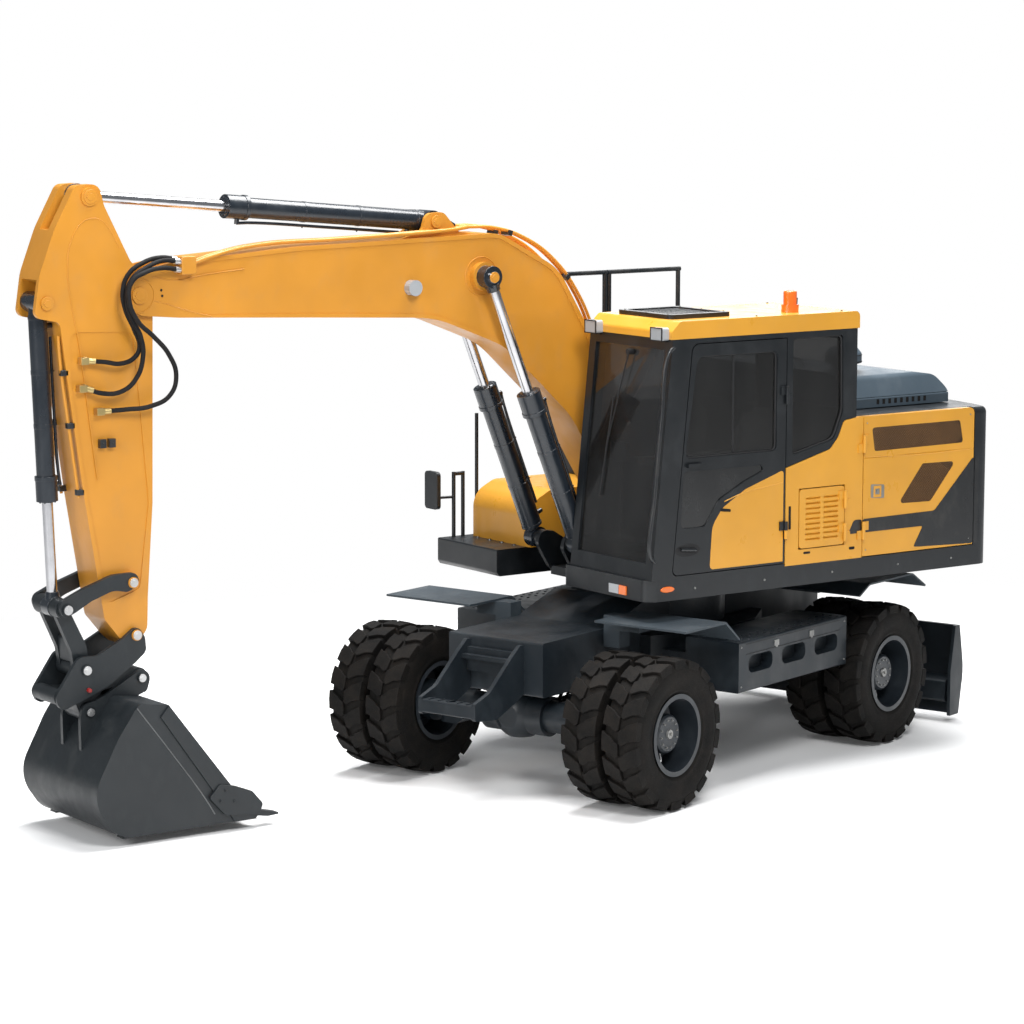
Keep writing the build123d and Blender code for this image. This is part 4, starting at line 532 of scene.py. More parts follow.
def wheel_details():
    """Wheel nuts, hub bolts, the hub's plug and the valve stem on each wheel."""
    for row in ("front", "rear"):
        for side, word in SIDES:
            bm = bmesh.new()
            x = AXLE_X[row]
            out = CHASSIS_TURN @ Vector((0, side, 0))
            for count, radius, y, size in ((10, 0.138, 1.016, 0.016), (12, 0.092, 1.199, 0.009)):
                for i in range(count):
                    turn = 2 * math.pi * (i + 0.3) / count
                    place = chassis(x + radius * math.sin(turn), side * y, AXLE_Z + radius * math.cos(turn))
                    add_bolt(bm, place, out, size, size * 0.9)
            middle = chassis(x, side * 1.199, AXLE_Z)
            add_rod(bm, middle, middle + out * 0.012, 0.034, 24, 0.030)
            add_bolt(bm, middle + out * 0.012, out, 0.014, 0.009)
            name = "%s_%s_wheel" % (row, word)
            add_piece("%s_nuts" % name, bm, name, "rim_grey", ZINC_DULL)
            stem = places(chassis, (x + 0.10, side * 1.195, AXLE_Z - 0.115),
                          (x + 0.13, side * 1.22, AXLE_Z - 0.16), (x + 0.155, side * 1.20, AXLE_Z - 0.185))
            tube("%s_valve" % name, stem, 0.006, name, "rim_grey", BRIGHT)


# ---- side panels
STRIPE_OUTLINE = [(-0.740, 1.624), (-0.790, 1.717), (-1.533, 1.724), (-1.887, 2.071), (-1.945, 2.071),
                  (-1.945, 1.462), (-1.341, 1.484), (-1.428, 1.625)]
UPPER_GRILLE = [(-0.945, 2.346), (-1.764, 2.346), (-1.798, 2.186), (-0.972, 2.181)]
LOWER_GRILLE = [(-1.417, 2.065), (-1.729, 2.060), (-1.496, 1.794), (-1.198, 1.800)]
SEAMS = (-0.865, -1.905)         # where the engine door meets the fixed panels


def clip(outline, sign, edge):
    """The part of an (x, z) outline on one side of the line x = edge."""
    kept = []
    for (ax, az), (bx, bz) in zip(outline, outline[1:] + outline[:1]):
        if sign * (ax - edge) >= 0:
            kept.append((ax, az))
        if (ax - edge) * (bx - edge) < 0:
            share = (edge - ax) / (bx - ax)
            kept.append((edge, az + (bz - az) * share))
    return kept


def plate(bm, outline, side, y0, y1):
    """A flat plate with an (x, z) outline between two distances from the middle."""
    rows = []
    for y in (y0, y1):
        rows.append([bm.verts.new(house(x, side * y, z)) for x, z in outline])
    bm.faces.new(rows[0])
    bm.faces.new(rows[1][::-1])
    for i in range(len(outline)):
        k = (i + 1) % len(outline)
        bm.faces.new((rows[0][i], rows[0][k], rows[1][k], rows[1][i]))


def rounded(outline, radius, steps=5):
    """An outline with its corners cut back to arcs."""
    points = []
    for i, corner in enumerate(outline):
        before = Vector(outline[i - 1]) - Vector(corner)
        after = Vector(outline[(i + 1) % len(outline)]) - Vector(corner)
        reach = min(radius, before.length * 0.45, after.length * 0.45)
        a = Vector(corner) + before.normalized() * reach
        b = Vector(corner) + after.normalized() * reach
        for s in range(steps + 1):
            t = s / steps
            p = a.lerp(Vector(corner), t).lerp(Vector(corner).lerp(b, t), t)
            points.append((p.x, p.y))
    return points


def stripe():
    """Black band low on each side, broken at the engine door's seams."""
    gap = 0.004
    for side, word in SIDES:
        door = clip(clip(STRIPE_OUTLINE, -1, SEAMS[0] - gap), 1, SEAMS[1] + gap)
        front = clip(STRIPE_OUTLINE, 1, SEAMS[0] + gap)
        rear = clip(STRIPE_OUTLINE, -1, SEAMS[1] - gap)
        for part, outline, body in (("front", front, "house"), ("door", door, word + "_engine_door_body"),
                                    ("rear", rear, "house")):
            bm = bmesh.new()
            plate(bm, rounded(outline, 0.02, 3), side, SIDE_Y - 0.001, SIDE_Y + 0.0025)
            add_piece("stripe_%s_%s" % (word, part), bm, body, "house_grey", STRIPE)


def crossing(outline, point, way):
    """Where a line crosses a convex (x, z) outline, as a pair of places, or None."""
    hits = []
    for (ax, az), (bx, bz) in zip(outline, outline[1:] + outline[:1]):
        ex, ez = bx - ax, bz - az
        cross = way[0] * ez - way[1] * ex
        if abs(cross) < 1e-9:
            continue
        share = ((ax - point[0]) * way[1] - (az - point[1]) * way[0]) / cross
        if 0 <= share <= 1:
            hits.append((ax + ex * share, az + ez * share))
    return hits[:2] if len(hits) >= 2 else None


def grilles():
    """Expanded metal over the engine doors' openings, each backed by a near-black plate that paints the shade
    inside.
    """
    pitch = 0.017
    for side, word in SIDES:
        body = word + "_engine_door_body"
        for label, outline in (("upper", UPPER_GRILLE), ("lower", LOWER_GRILLE)):
            back = bmesh.new()
            # near-black backing plate: painted shade inside the opening
            plate(back, rounded(outline, 0.018), side, SIDE_Y - 0.010, SIDE_Y - 0.0035)
            add_piece("grille_back_%s_%s" % (label, word), back, body, "house_grey", OPENING_SHADE)
            bm = bmesh.new()
            xs, zs = zip(*outline)
            low, high = min(zs), max(zs)
            span = max(xs) - min(xs) + high - low
            for slope in (0.62, -0.62):
                for i in range(int(span / pitch)):
                    start = (min(xs) - (high - low) + pitch * i, low if slope > 0 else high)
                    ends = crossing(outline, start, (1.0 / 1.18, slope / 1.18))
                    if ends is None:
                        continue
                    a, b = (house(x, side * (SIDE_Y - 0.0016), z) for x, z in ends)
                    if (a - b).length > 0.01:
                        add_rod(bm, a, b, 0.0016, 4)
            add_piece("grille_mesh_%s_%s" % (label, word), bm, body, "body_yellow", MESH_METAL)


def oval(x, z, half_x, half_z, steps):
    """An oval outline in (x, z)."""
    turns = [2 * math.pi * i / steps for i in range(steps)]
    return [(x + half_x * math.cos(turn), z + half_z * math.sin(turn)) for turn in turns]


def panel_details():
    """Hand slots as near-black plates that paint the shade in them, the door's lower pane and handle, the
    side marker, locks and latches.
    """
    bm = bmesh.new()
    # near-black plates on the panel: painted shade in the hand slots
    for x0, x1, z0, z1 in ((-0.225, -0.205, 1.70, 1.86), (-0.80, -0.75, 1.515, 1.535),
                           (-0.40, -0.34, 1.520, 1.535)):
        outline = [(x0, z0), (x1, z0), (x1, z1), (x0, z1)]
        plate(bm, rounded(outline, 0.008, 3), 1, SIDE_Y - 0.001, SIDE_Y + 0.0016)
    add_piece("panel_hand_slots", bm, "house", "house_grey", OPENING_SHADE)
    panel_crease()
    hand_slot = rounded([(0.300, 1.862), (0.385, 1.872), (0.385, 1.892), (0.300, 1.882)], 0.008, 3)
    # name, outline, inner and outer distance from the side's face, body, slot, look, rounding of the edges
    plates = [
        # a near-black plate: painted shade in the door's hand slot
        ("door_hand_slot", hand_slot, -0.001, 0.0016, "cab_door_body", "house_grey", OPENING_SHADE, 0.0),
        ("door_lower_pane", DOOR_LOWER, -0.014, -0.010, "cab_door_body", "window_glass", GLOSS_BLACK, 0.0),
        ("door_handle_cup", oval(0.664, 1.635, 0.105, 0.043, 32), -0.004, 0.0012, "cab_door_body",
         "house_grey", SEAL, 0.001),
        ("side_marker_lens", oval(0.834, 1.386, 0.056, 0.020, 24), -0.004, 0.010, "house",
         "lamp_lens", None, 0.004),
    ]
    for name, outline, inner, outer, body, slot, look, edge in plates:
        bm = bmesh.new()
        plate(bm, outline, 1, SIDE_Y + inner, SIDE_Y + outer)
        add_piece(name, bm, body, slot, look, edge)
    bm = bmesh.new()
    add_rod(bm, house(0.600, SIDE_Y + 0.010, 1.632), house(0.728, SIDE_Y + 0.010, 1.645), 0.010, 16)
    add_piece("door_handle", bm, "cab_door_body", "rim_grey", LOOK["rail_black"])
    for side, word in SIDES:
        bm = bmesh.new()
        out = Vector((0, side, 0))
        latch = [(-0.942, 1.953), (-1.063, 1.944), (-1.063, 1.850), (-0.942, 1.859)]
        plate(bm, rounded(latch, 0.010, 3), side, SIDE_Y - 0.001, SIDE_Y + 0.0022)
        lock = house(-1.0, side * SIDE_Y, 1.90)
        add_rod(bm, lock + out * 0.002, lock + out * 0.008, 0.013, 20)
        add_rod(bm, lock + out * 0.008, lock + out * 0.010, 0.007, 16)
        for x, z in ((-0.90, 1.50), (-0.90, 2.38), (-1.86, 1.50), (-1.86, 2.38)):
            add_bolt(bm, house(x, side * SIDE_Y, z), out, 0.007, 0.005)
        add_piece("engine_door_lock_" + word, bm, word + "_engine_door_body", "rim_grey", ZINC_DULL)


def ridge(name, points, y, radius, body, slot, look=None):
    """A low rounded bead along (x, z) places on a side face, such as a crease or a weld."""
    tube(name, [house(x, y, z) for x, z in points], radius, body, slot, look, 2)


def panel_crease():
    """The pressed crease that runs from the cab door to the tail."""
    face, radius = SIDE_Y - 0.002, 0.0045
    for side, word in SIDES:
        ridge("crease_door_" + word, [(-0.885, 2.149), (-1.398, 2.131), (-1.890, 2.137)], side * face, radius,
              word + "_engine_door_body", "body_yellow")
    ridge("crease_cab_door", [(0.355, 1.936), (0.180, 1.985), (0.000, 2.008), (-0.150, 2.026)], face, radius,
          "cab_door_body", "body_yellow")


# ---- cab
def window_seal(name, outline, body):
    """A round seal along a closed (x, z) outline on the left side."""
    curve = bpy.data.curves.new(name, "CURVE")
    curve.dimensions = "3D"
    curve.bevel_depth = 0.009
    curve.bevel_resolution = 2
    points = rounded(outline, 0.05, 6)
    spline = curve.splines.new("POLY")
    spline.points.add(len(points) - 1)
    for knot, (x, z) in zip(spline.points, points):
        knot.co = (*house(x, SIDE_Y - 0.018, z), 1)
    spline.use_cyclic_u = True
    mesh_from(name, curve, body, "house_grey", SEAL)


QUARTER_WINDOW = [(-0.230, 2.205), (-0.230, 3.000), (-0.670, 3.000), (-0.680, 2.480), (-0.600, 2.290)]
DOOR_UPPER = [(-0.092, 2.245), (0.690, 2.245), (0.590, 2.920), (-0.092, 2.920)]
DOOR_LOWER = [(-0.092, 2.160), (0.700, 2.160), (0.725, 1.780), (0.520, 1.780), (0.400, 1.950), (0.178, 2.060)]
CAB_SLOPE = (0.965 - 0.800) / (3.040 - 1.451)


def cab_front_x(z):
    """Outer face of the sloped cab front at a height."""
    return 0.965 - CAB_SLOPE * (z - 1.451)


def cab_details():
    """Window seals, the sliding pane's bar, wiper, grab bar, hatch glass and roof bolts."""
    for name, outline, body in (("quarter_window_seal", QUARTER_WINDOW, "house"),
                                ("door_upper_seal", DOOR_UPPER, "cab_door_body"),
                                ("door_lower_seal", DOOR_LOWER, "cab_door_body")):
        window_seal(name, outline, body)
    bm = bmesh.new()
    house_box(bm, (0.262, SIDE_Y - 0.036, 2.25), (0.278, SIDE_Y - 0.020, 2.915))
    house_box(bm, (-0.090, SIDE_Y - 0.034, 2.248), (0.685, SIDE_Y - 0.020, 2.262))
    add_piece("sliding_pane_bar", bm, "cab_door_body", "house_grey", SEAL, edge=0.002)
    # wiper on the front glass
    bm = bmesh.new()
    foot = house(cab_front_x(2.93) + 0.012, 0.80, 2.93)
    tip = house(cab_front_x(2.25) - 0.002, 0.62, 2.25)
    add_rod(bm, foot - Vector((0.05, 0, 0)), foot + Vector((0.012, 0, 0)), 0.020, 16)
    add_rod(bm, foot, tip, 0.006, 10, 0.004)
    blade_top = house(cab_front_x(2.62) - 0.004, 0.66, 2.62)
    blade_low = house(cab_front_x(1.95) - 0.004, 0.60, 1.95)
    add_rod(bm, blade_top, blade_low, 0.006, 8)
    add_piece("front_wiper", bm, "house", "rail_black", SEAL)
    # grab bar on the left front pillar
    side = SIDE_Y - 0.02
    bar = [house(cab_front_x(z) + gap, side + 0.012, z) for z, gap in
           ((1.57, -0.020), (1.61, 0.020), (2.02, 0.030), (2.50, 0.030), (2.95, 0.020), (2.99, -0.020))]
    tube("cab_grab_bar", bar, 0.013, "house", "rail_black")
    # hatch pane and its bolts
    bm = bmesh.new()
    x0, x1, y0, y1 = 0.180, 0.700, 0.500, 1.090
    house_box(bm, (x0 + 0.046, y0 + 0.046, 3.175), (x1 - 0.046, y1 - 0.046, 3.182))
    add_piece("roof_hatch_pane", bm, "house", "window_glass")
    bm = bmesh.new()
    for x in (x0 + 0.025, x1 - 0.025):
        for y in (y0 + 0.06, (y0 + y1) / 2, y1 - 0.06):
            add_bolt(bm, house(x, y, 3.187), UP, 0.009, 0.006)
    for y, x in ((0.40, -0.70), (1.19, -0.70), (0.40, 0.05), (1.19, 0.05)):
        add_bolt(bm, house(x, y, 3.157), UP, 0.012, 0.008)
    add_piece("roof_bolts", bm, "house", "rim_grey", ZINC_DULL)
    # lamp brackets at the roof's front corners, and their lenses' rims
    bm = bmesh.new()
    for y in (0.435, 1.155):
        house_box(bm, (0.795, y - 0.030, 3.020), (0.815, y + 0.030, 3.060))
        for z in (3.029, 3.112):
            house_box(bm, (0.867, y - 0.063, z), (0.876, y + 0.063, z + 0.007))
        for edge in (y - 0.063, y + 0.056):
            house_box(bm, (0.867, edge, 3.029), (0.876, edge + 0.007, 3.119))
    add_piece("roof_lamp_rims", bm, "house", "rail_black", SEAL, edge=0.002)


SEAT_Y = 0.795                   # middle of the seat


def operator_place():
    """Consoles, armrests, joysticks and a display, seen through the glass."""
    y = SEAT_Y
    bm = bmesh.new()
    for side in (-1, 1):
        house_box(bm, (-0.20, y + side * 0.33 - 0.07, 1.92), (0.28, y + side * 0.33 + 0.07, 2.03))
        house_box(bm, (-0.16, y + side * 0.30 - 0.045, 2.12), (0.20, y + side * 0.30 + 0.045, 2.16))
        house_box(bm, (-0.14, y + side * 0.31 - 0.02, 2.02), (-0.06, y + side * 0.31 + 0.02, 2.13))
    add_piece("seat_consoles", bm, "house", "seat_plastic", edge=0.014, segments=3)
    bm = bmesh.new()
    for side in (-1, 1):
        low = house(0.235, y + side * 0.33, 2.02)
        high = house(0.262, y + side * 0.325, 2.17)
        add_rod(bm, low, high, 0.013, 16, 0.010)
        add_rod(bm, high, high + Vector((0.012, 0, 0.075)), 0.020, 20, 0.026)
        add_rod(bm, low, low + Vector((0.006, 0, 0.045)), 0.032, 20, 0.014)
    add_piece("joysticks", bm, "house", "seat_plastic", SEAL)
    bm = bmesh.new()
    house_box(bm, (0.655, 0.420, 2.16), (0.690, 0.600, 2.29))
    house_box(bm, (0.640, 0.500, 1.62), (0.665, 0.525, 2.18))
    add_piece("display", bm, "house", "seat_plastic", SEAL, edge=0.006, segments=3)


def cushion_block(bm, low, high, crown, turn=None, middle=None):
    """A crowned pad: a grid box whose faces bulge and whose corners pull in."""
    pad = bmesh.new()
    bmesh.ops.create_cube(pad, size=1.0)
    bmesh.ops.subdivide_edges(pad, edges=pad.edges[:], cuts=9, use_grid_fill=True)
    size = [b - a for a, b in zip(low, high)]
    centre = Vector([(a + b) / 2 for a, b in zip(low, high)])
    for vert in pad.verts:
        p = [c * 2 for c in vert.co]
        swell = [1 - abs(c) ** 2.6 for c in p]
        bulge = [swell[1] * swell[2], swell[0] * swell[2], swell[0] * swell[1]]
        edge = sorted(abs(c) for c in p)[1]
        pull = 1.0 - 0.05 * edge ** 6
        local = Vector([p[i] * (pull * (size[i] / 2 - crown) + crown * bulge[i]) for i in range(3)])
        vert.co = (turn @ local if turn is not None else local) + centre + (middle or Vector((0, 0, 0)))
    mesh = bpy.data.meshes.new("pad")
    pad.to_mesh(mesh)
    pad.free()
    bm.from_mesh(mesh)
    bpy.data.meshes.remove(mesh)


def seat():
    """Woven seat cushion and back with a headrest, in place of the plain solid."""
    y = SEAT_Y
    bm = bmesh.new()
    cushion_block(bm, (-0.345, y - 0.235, 1.800), (0.132, y + 0.235, 1.902), 0.016)
    lean = Matrix.Rotation(math.radians(-8.0), 3, "Y")
    cushion_block(bm, (-0.055, -0.225, -0.265), (0.055, 0.225, 0.265), 0.014, lean,
                  Vector((-0.318, y, 2.180)))
    for side in (-1, 1):
        cushion_block(bm, (-0.055, -0.035, -0.20), (0.06, 0.035, 0.20), 0.012, lean,
                      Vector((-0.300, y + side * 0.195, 2.150)))
        cushion_block(bm, (-0.20, -0.035, -0.03), (0.20, 0.035, 0.03), 0.010, None,
                      Vector((-0.085, y + side * 0.200, 1.890)))
    cushion_block(bm, (-0.035, -0.12, -0.06), (0.035, 0.12, 0.06), 0.012, lean, Vector((-0.358, y, 2.425)))
    for vert in bm.verts:
        vert.co = vert.co - ORIGIN
    piece = add_piece("seat_pads", bm, "house", "seat_fabric")
    modifier = piece.modifiers.new("smooth", "SUBSURF")
    modifier.levels = modifier.render_levels = 1
    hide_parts("seat_cushion")


# ---- boom, arm and cylinders
def cylinder_details():
    """Gland nuts, ports, hard lines, straps and dark eyes on every cylinder."""
    lift = [(0.820, 1.560), (1.575, 3.425), 1.160, 0.070, 0.037, 0.072, 0.090, "lift_barrels", "lift_rods"]
    # name, y, then foot, eye, head distance, barrel, rod and eye radius, eye width, barrel body, rod body
    table = [
        ["lift_left", 0.255] + lift,
        ["lift_right", -0.255] + lift,
        ["arm", 0.0, (1.905, 3.795), (4.500, 4.030), 1.560, 0.066, 0.036, 0.072, 0.110,
         "arm_barrel", "arm_rod"],
        ["curl", 0.0, (4.805, 3.385), (4.728, 1.482), 1.240, 0.058, 0.034, 0.064, 0.100,
         "curl_barrel", "curl_rod"],
    ]
    for name, y, foot, eye, head, radius, rod_r, eye_r, eye_w, barrel, rod in table:
        a = house(foot[0], y, foot[1])
        b = house(eye[0], y, eye[1])
        way = (b - a).normalized()
        across = way.cross(Vector((0, 1, 0))).normalized()

        def at(distance, offset=0.0, side=across):
            """A place along the barrel from its foot, and out from its line."""
            return a + way * distance + side * offset

        bm = bmesh.new()
        add_band(bm, at(head - 0.158), at(head - 0.130), radius * 1.235, radius * 0.97)
        add_band(bm, at(head - 0.006), at(head + 0.006), radius * 1.04, rod_r * 1.04, rod_r * 1.5)
        for i in range(8):
            turn = Matrix.Rotation(2 * math.pi * i / 8, 3, way)
            add_bolt(bm, at(head) + turn @ (across * radius * 0.86), way, 0.011, 0.010)
        add_band(bm, at(0.085), at(0.105), radius * 1.04, radius * 0.97)
        add_piece(name + "_gland", bm, barrel, "cylinder_black", edge=0.003)
        # hard line along the barrel from the foot port to the head port
        out = across if name.startswith("lift") else -across
        line_r = radius + 0.022
        bm = bmesh.new()
        for distance, inner in ((head - 0.10, 1.0), (0.15, 0.9)):
            add_rod(bm, at(distance, radius * inner, out), at(distance, line_r + 0.02, out), 0.016, 16)
        for share in (0.35, 0.62):
            place = at(head * share)
            add_band(bm, place - way * 0.014, place + way * 0.014, radius * 1.035, radius * 0.97)
            add_bolt(bm, place + out * (radius + 0.030), out, 0.009, 0.008)
        add_piece(name + "_ports", bm, barrel, "cylinder_black", edge=0.002)
        line = [at(head - 0.10, line_r + 0.014, out), at(head - 0.19, line_r + 0.006, out),
                at(head * 0.5, line_r, out), at(0.22, line_r, out)]
        tube(name + "_hard_line", line, 0.010, barrel, "cylinder_black")
        # dark eye with its neck round the rod's end
        bm = bmesh.new()
        add_rod(bm, b - way * (eye_r + 0.028), b - way * (eye_r - 0.02), rod_r * 1.22, 28, rod_r * 1.45)
        for s in (-1, 1):
            edge = b + Vector((0, s * eye_w / 2, 0))
            add_rod(bm, edge - Vector((0, s * 0.004, 0)), edge + Vector((0, s * 0.0002, 0)), eye_r * 1.03, 36)
        ring = Vector((0, eye_w / 2 - 0.003, 0))
        add_rod(bm, b - ring, b + ring, eye_r * 1.015, 40)
        add_piece(name + "_eye", bm, rod, "cylinder_black", edge=0.003)


def pin_caps():
    """Pin ends with their keeper plates and bolts, bright or painted over."""
    bright, painted = BRIGHT, LOOK["boom_yellow"]
    # name, x, z, half width to the cap's face, radius, body, look
    table = [
        ("boom_tip", 4.177, 3.408, 0.172, 0.052, "boom_body", painted),
        ("lift_eye", 1.575, 3.425, 0.315, 0.036, "lift_rods", painted),
        ("arm_foot", 1.905, 3.795, 0.121, 0.042, "boom_body", painted),
        ("arm_eye", 4.500, 4.030, 0.146, 0.044, "arm_body", painted),
        ("curl_foot", 4.805, 3.385, 0.141, 0.042, "arm_body", painted),
        ("tip_pin", 4.262, 1.612, 0.203, 0.0288, "arm_body", bright),
        ("arm_tip", 4.230, 1.271, 0.180, 0.03024, "arm_body", bright),
        ("curl_eye", 4.728, 1.482, 0.205, 0.030, "tipping_body", bright),
        ("link_pin", 4.588, 1.083, 0.180, 0.0288, "bucket_body", bright),
        ("bucket_a", 4.180, 0.987, 0.149, 0.02592, "bucket_body", bright),
        ("bucket_b", 4.552, 0.808, 0.149, 0.02592, "bucket_body", bright),
        ("lift_foot", 0.820, 1.560, 0.309, 0.040, "house", bright),
    ]
    for name, x, z, half, radius, body, look in table:
        bm = bmesh.new()
        for side in (-1, 1):
            out = Vector((0, side, 0))
            face = house(x, side * half, z)
            add_rod(bm, face - out * 0.004, face + out * 0.005, radius, 28)
            add_rod(bm, face + out * 0.004, face + out * 0.008, radius * 0.55, 24)
            add_bolt(bm, face + out * 0.005 + Vector((radius * 0.62, 0, 0)), out, 0.007, 0.006)
        add_piece(name + "_pin_ends", bm, body, "rim_grey", look, edge=0.0015)


def boom_pipes():
    """Steel pipes along the boom's back and top, their clamps, and the hoses at both ends."""
    rows = (-0.105, -0.060, 0.060, 0.105)
    # (x, z) places along the boom's upper face, a little above the plate
    spine = [(0.150, 2.020), (0.330, 2.440), (0.560, 2.930), (0.730, 3.270), (0.930, 3.505), (1.180, 3.665),
             (1.440, 3.742), (1.640, 3.752)]
    for i, y in enumerate(rows):
        points = [house(x, y, z) for x, z in spine]
        tube("boom_pipe_%d" % (i + 1), points, 0.011, "boom_body", "boom_yellow")
    bm = bmesh.new()
    for (ax, az), (bx, bz) in zip(spine[1::2], spine[2::2]):
        along = Vector((bx - ax, 0, bz - az)).normalized()
        up = Vector((-along.z, 0, along.x))
        middle = house((ax + bx) / 2, 0, (az + bz) / 2)
        turn = Matrix((along, Vector((0, 1, 0)), up)).transposed()
        for y in (-0.0825, 0.0825):
            add_box(bm, (-0.016, y - 0.045, -0.020), (0.016, y + 0.045, 0.016), turn, middle)
            add_bolt(bm, middle + turn @ Vector((0, y, 0.016)), up, 0.008, 0.007)
    add_piece("boom_pipe_clamps", bm, "boom_body", "rail_black", edge=0.003)
    # hoses from the pipes to the arm cylinder's foot, and pipes on along the top
    for i, y in enumerate(rows[:2]):
        points = places(house, (1.640, y, 3.752), (1.720, y - 0.02, 3.800), (1.800, y - 0.06, 3.835),
                        (1.960, y - 0.075, 3.850), (2.100, y - 0.05, 3.842))
        tube("arm_cylinder_hose_%d" % (i + 1), points, 0.014, "boom_body", "rail_black", RUBBER_HOSE)
    for i, y in enumerate(rows[2:]):
        far = y + 0.028
        port = 0.155 + 0.045 * i
        points = places(house, (1.640, y, 3.752), (1.760, y + 0.03, 3.742), (2.100, far + 0.030, 3.728),
                        (2.700, far + 0.012, 3.708), (3.300, far, 3.690), (3.660, port, 3.640),
                        (3.802, port + 0.005, 3.600))
        tube("boom_top_line_%d" % (i + 1), points, 0.013, "boom_body", "boom_yellow")
    # hoses from the house up to the boom's pipes
    for i, y in enumerate(rows):
        points = places(house, (0.150, y, 2.020), (0.075, y, 1.900), (-0.060, y, 1.700), (-0.200, y, 1.560),
                        (-0.330, y, 1.500), (-0.420, y, 1.462))
        hose = tube("boom_foot_hose_%d" % (i + 1), points, 0.014, None, "rail_black", RUBBER_HOSE)
        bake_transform(hose)


def arm_lines():
    """Pipes down the arm's front edge to the coupler, with clamps."""
    for i, y in enumerate((-0.112, 0.112)):
        points = places(house, (4.720, y, 3.180), (4.708, y, 3.000), (4.650, y, 2.560), (4.596, y, 2.170))
        tube("arm_pipe_%d" % (i + 1), points, 0.010, "arm_body", "boom_yellow")
    bm = bmesh.new()
    for x, z in ((4.700, 2.95), (4.660, 2.62), (4.602, 2.20)):
        for y in (-0.112, 0.112):
            house_box(bm, (x - 0.040, y - 0.018, z - 0.018), (x + 0.012, y + 0.018, z + 0.018))
    add_piece("arm_pipe_clamps", bm, "arm_body", "rail_black", edge=0.003)


def weld_beads():
    """Thin weld seams where the boom's collars and the arm's bosses meet the side plates."""
    rows = [("boom_lift_collar", 1.575, 3.425, 0.161, 0.128, "boom_body"),
            ("boom_tip_collar", 4.177, 3.408, 0.166, 0.105, "boom_body"),
            ("arm_tip_collar", 4.177, 3.408, 0.131, 0.085, "arm_body")]
    for name, x, z, y, radius, body in rows:
        bm = bmesh.new()
        steps, ring = 48, 6
        for side in (-1, 1):
            verts = []
            for i in range(steps):
                turn = 2 * math.pi * i / steps
                swell = 0.0042 + 0.0008 * math.sin(turn * 24)
                row = []
                for j in range(ring):
                    around = 2 * math.pi * j / ring
                    r = radius + swell * math.cos(around)
                    out = side * (y + swell * math.sin(around))
                    place = house(x + r * math.cos(turn), out, z + r * math.sin(turn))
                    row.append(bm.verts.new(place))
                verts.append(row)
            for i in range(steps):
                for j in range(ring):
                    a, b = verts[i], verts[(i + 1) % steps]
                    bm.faces.new((a[j], a[(j + 1) % ring], b[(j + 1) % ring], b[j]))
        add_piece(name, bm, body, "boom_yellow")


def plate_lines():
    """Edges of the plates welded on the boom's tip and the arm's head, with their bolts."""
    bead = 0.0035
    for name, outline in (("upper", [(4.080, 3.520), (3.919, 3.493), (3.711, 3.520), (3.412, 3.545)]),
                          ("lower", [(4.075, 3.372), (4.008, 3.356), (3.789, 3.288), (3.655, 3.256)])):
        ridge("boom_tip_plate_" + name, outline, 0.1655, bead, "boom_body", "boom_yellow")
    ridge("arm_head_plate", [(4.470, 2.270), (4.533, 2.744), (4.584, 3.127), (4.636, 3.382), (4.655, 3.634),
                             (4.629, 3.758), (4.556, 3.870), (4.491, 3.895), (4.413, 3.880), (4.357, 3.822),
                             (4.288, 3.705)], 0.1305, bead, "arm_body", "boom_yellow")
    bm = bmesh.new()
    for x, z in ((4.019, 3.436), (4.013, 3.400)):
        add_bolt(bm, house(x, 0.165, z), Vector((0, 1, 0)), 0.010, 0.008)
    add_piece("boom_tip_bolts", bm, "boom_body", "rim_grey", SEAL)
    bm = bmesh.new()
    for x in (4.375, 4.440):
        house_box(bm, (x - 0.022, 0.128, 2.470), (x + 0.022, 0.160, 2.525))
        add_bolt(bm, house(x, 0.160, 2.4975), Vector((0, 1, 0)), 0.008, 0.006)
    add_piece("arm_clamp_block", bm, "arm_body", "rail_black", edge=0.003)


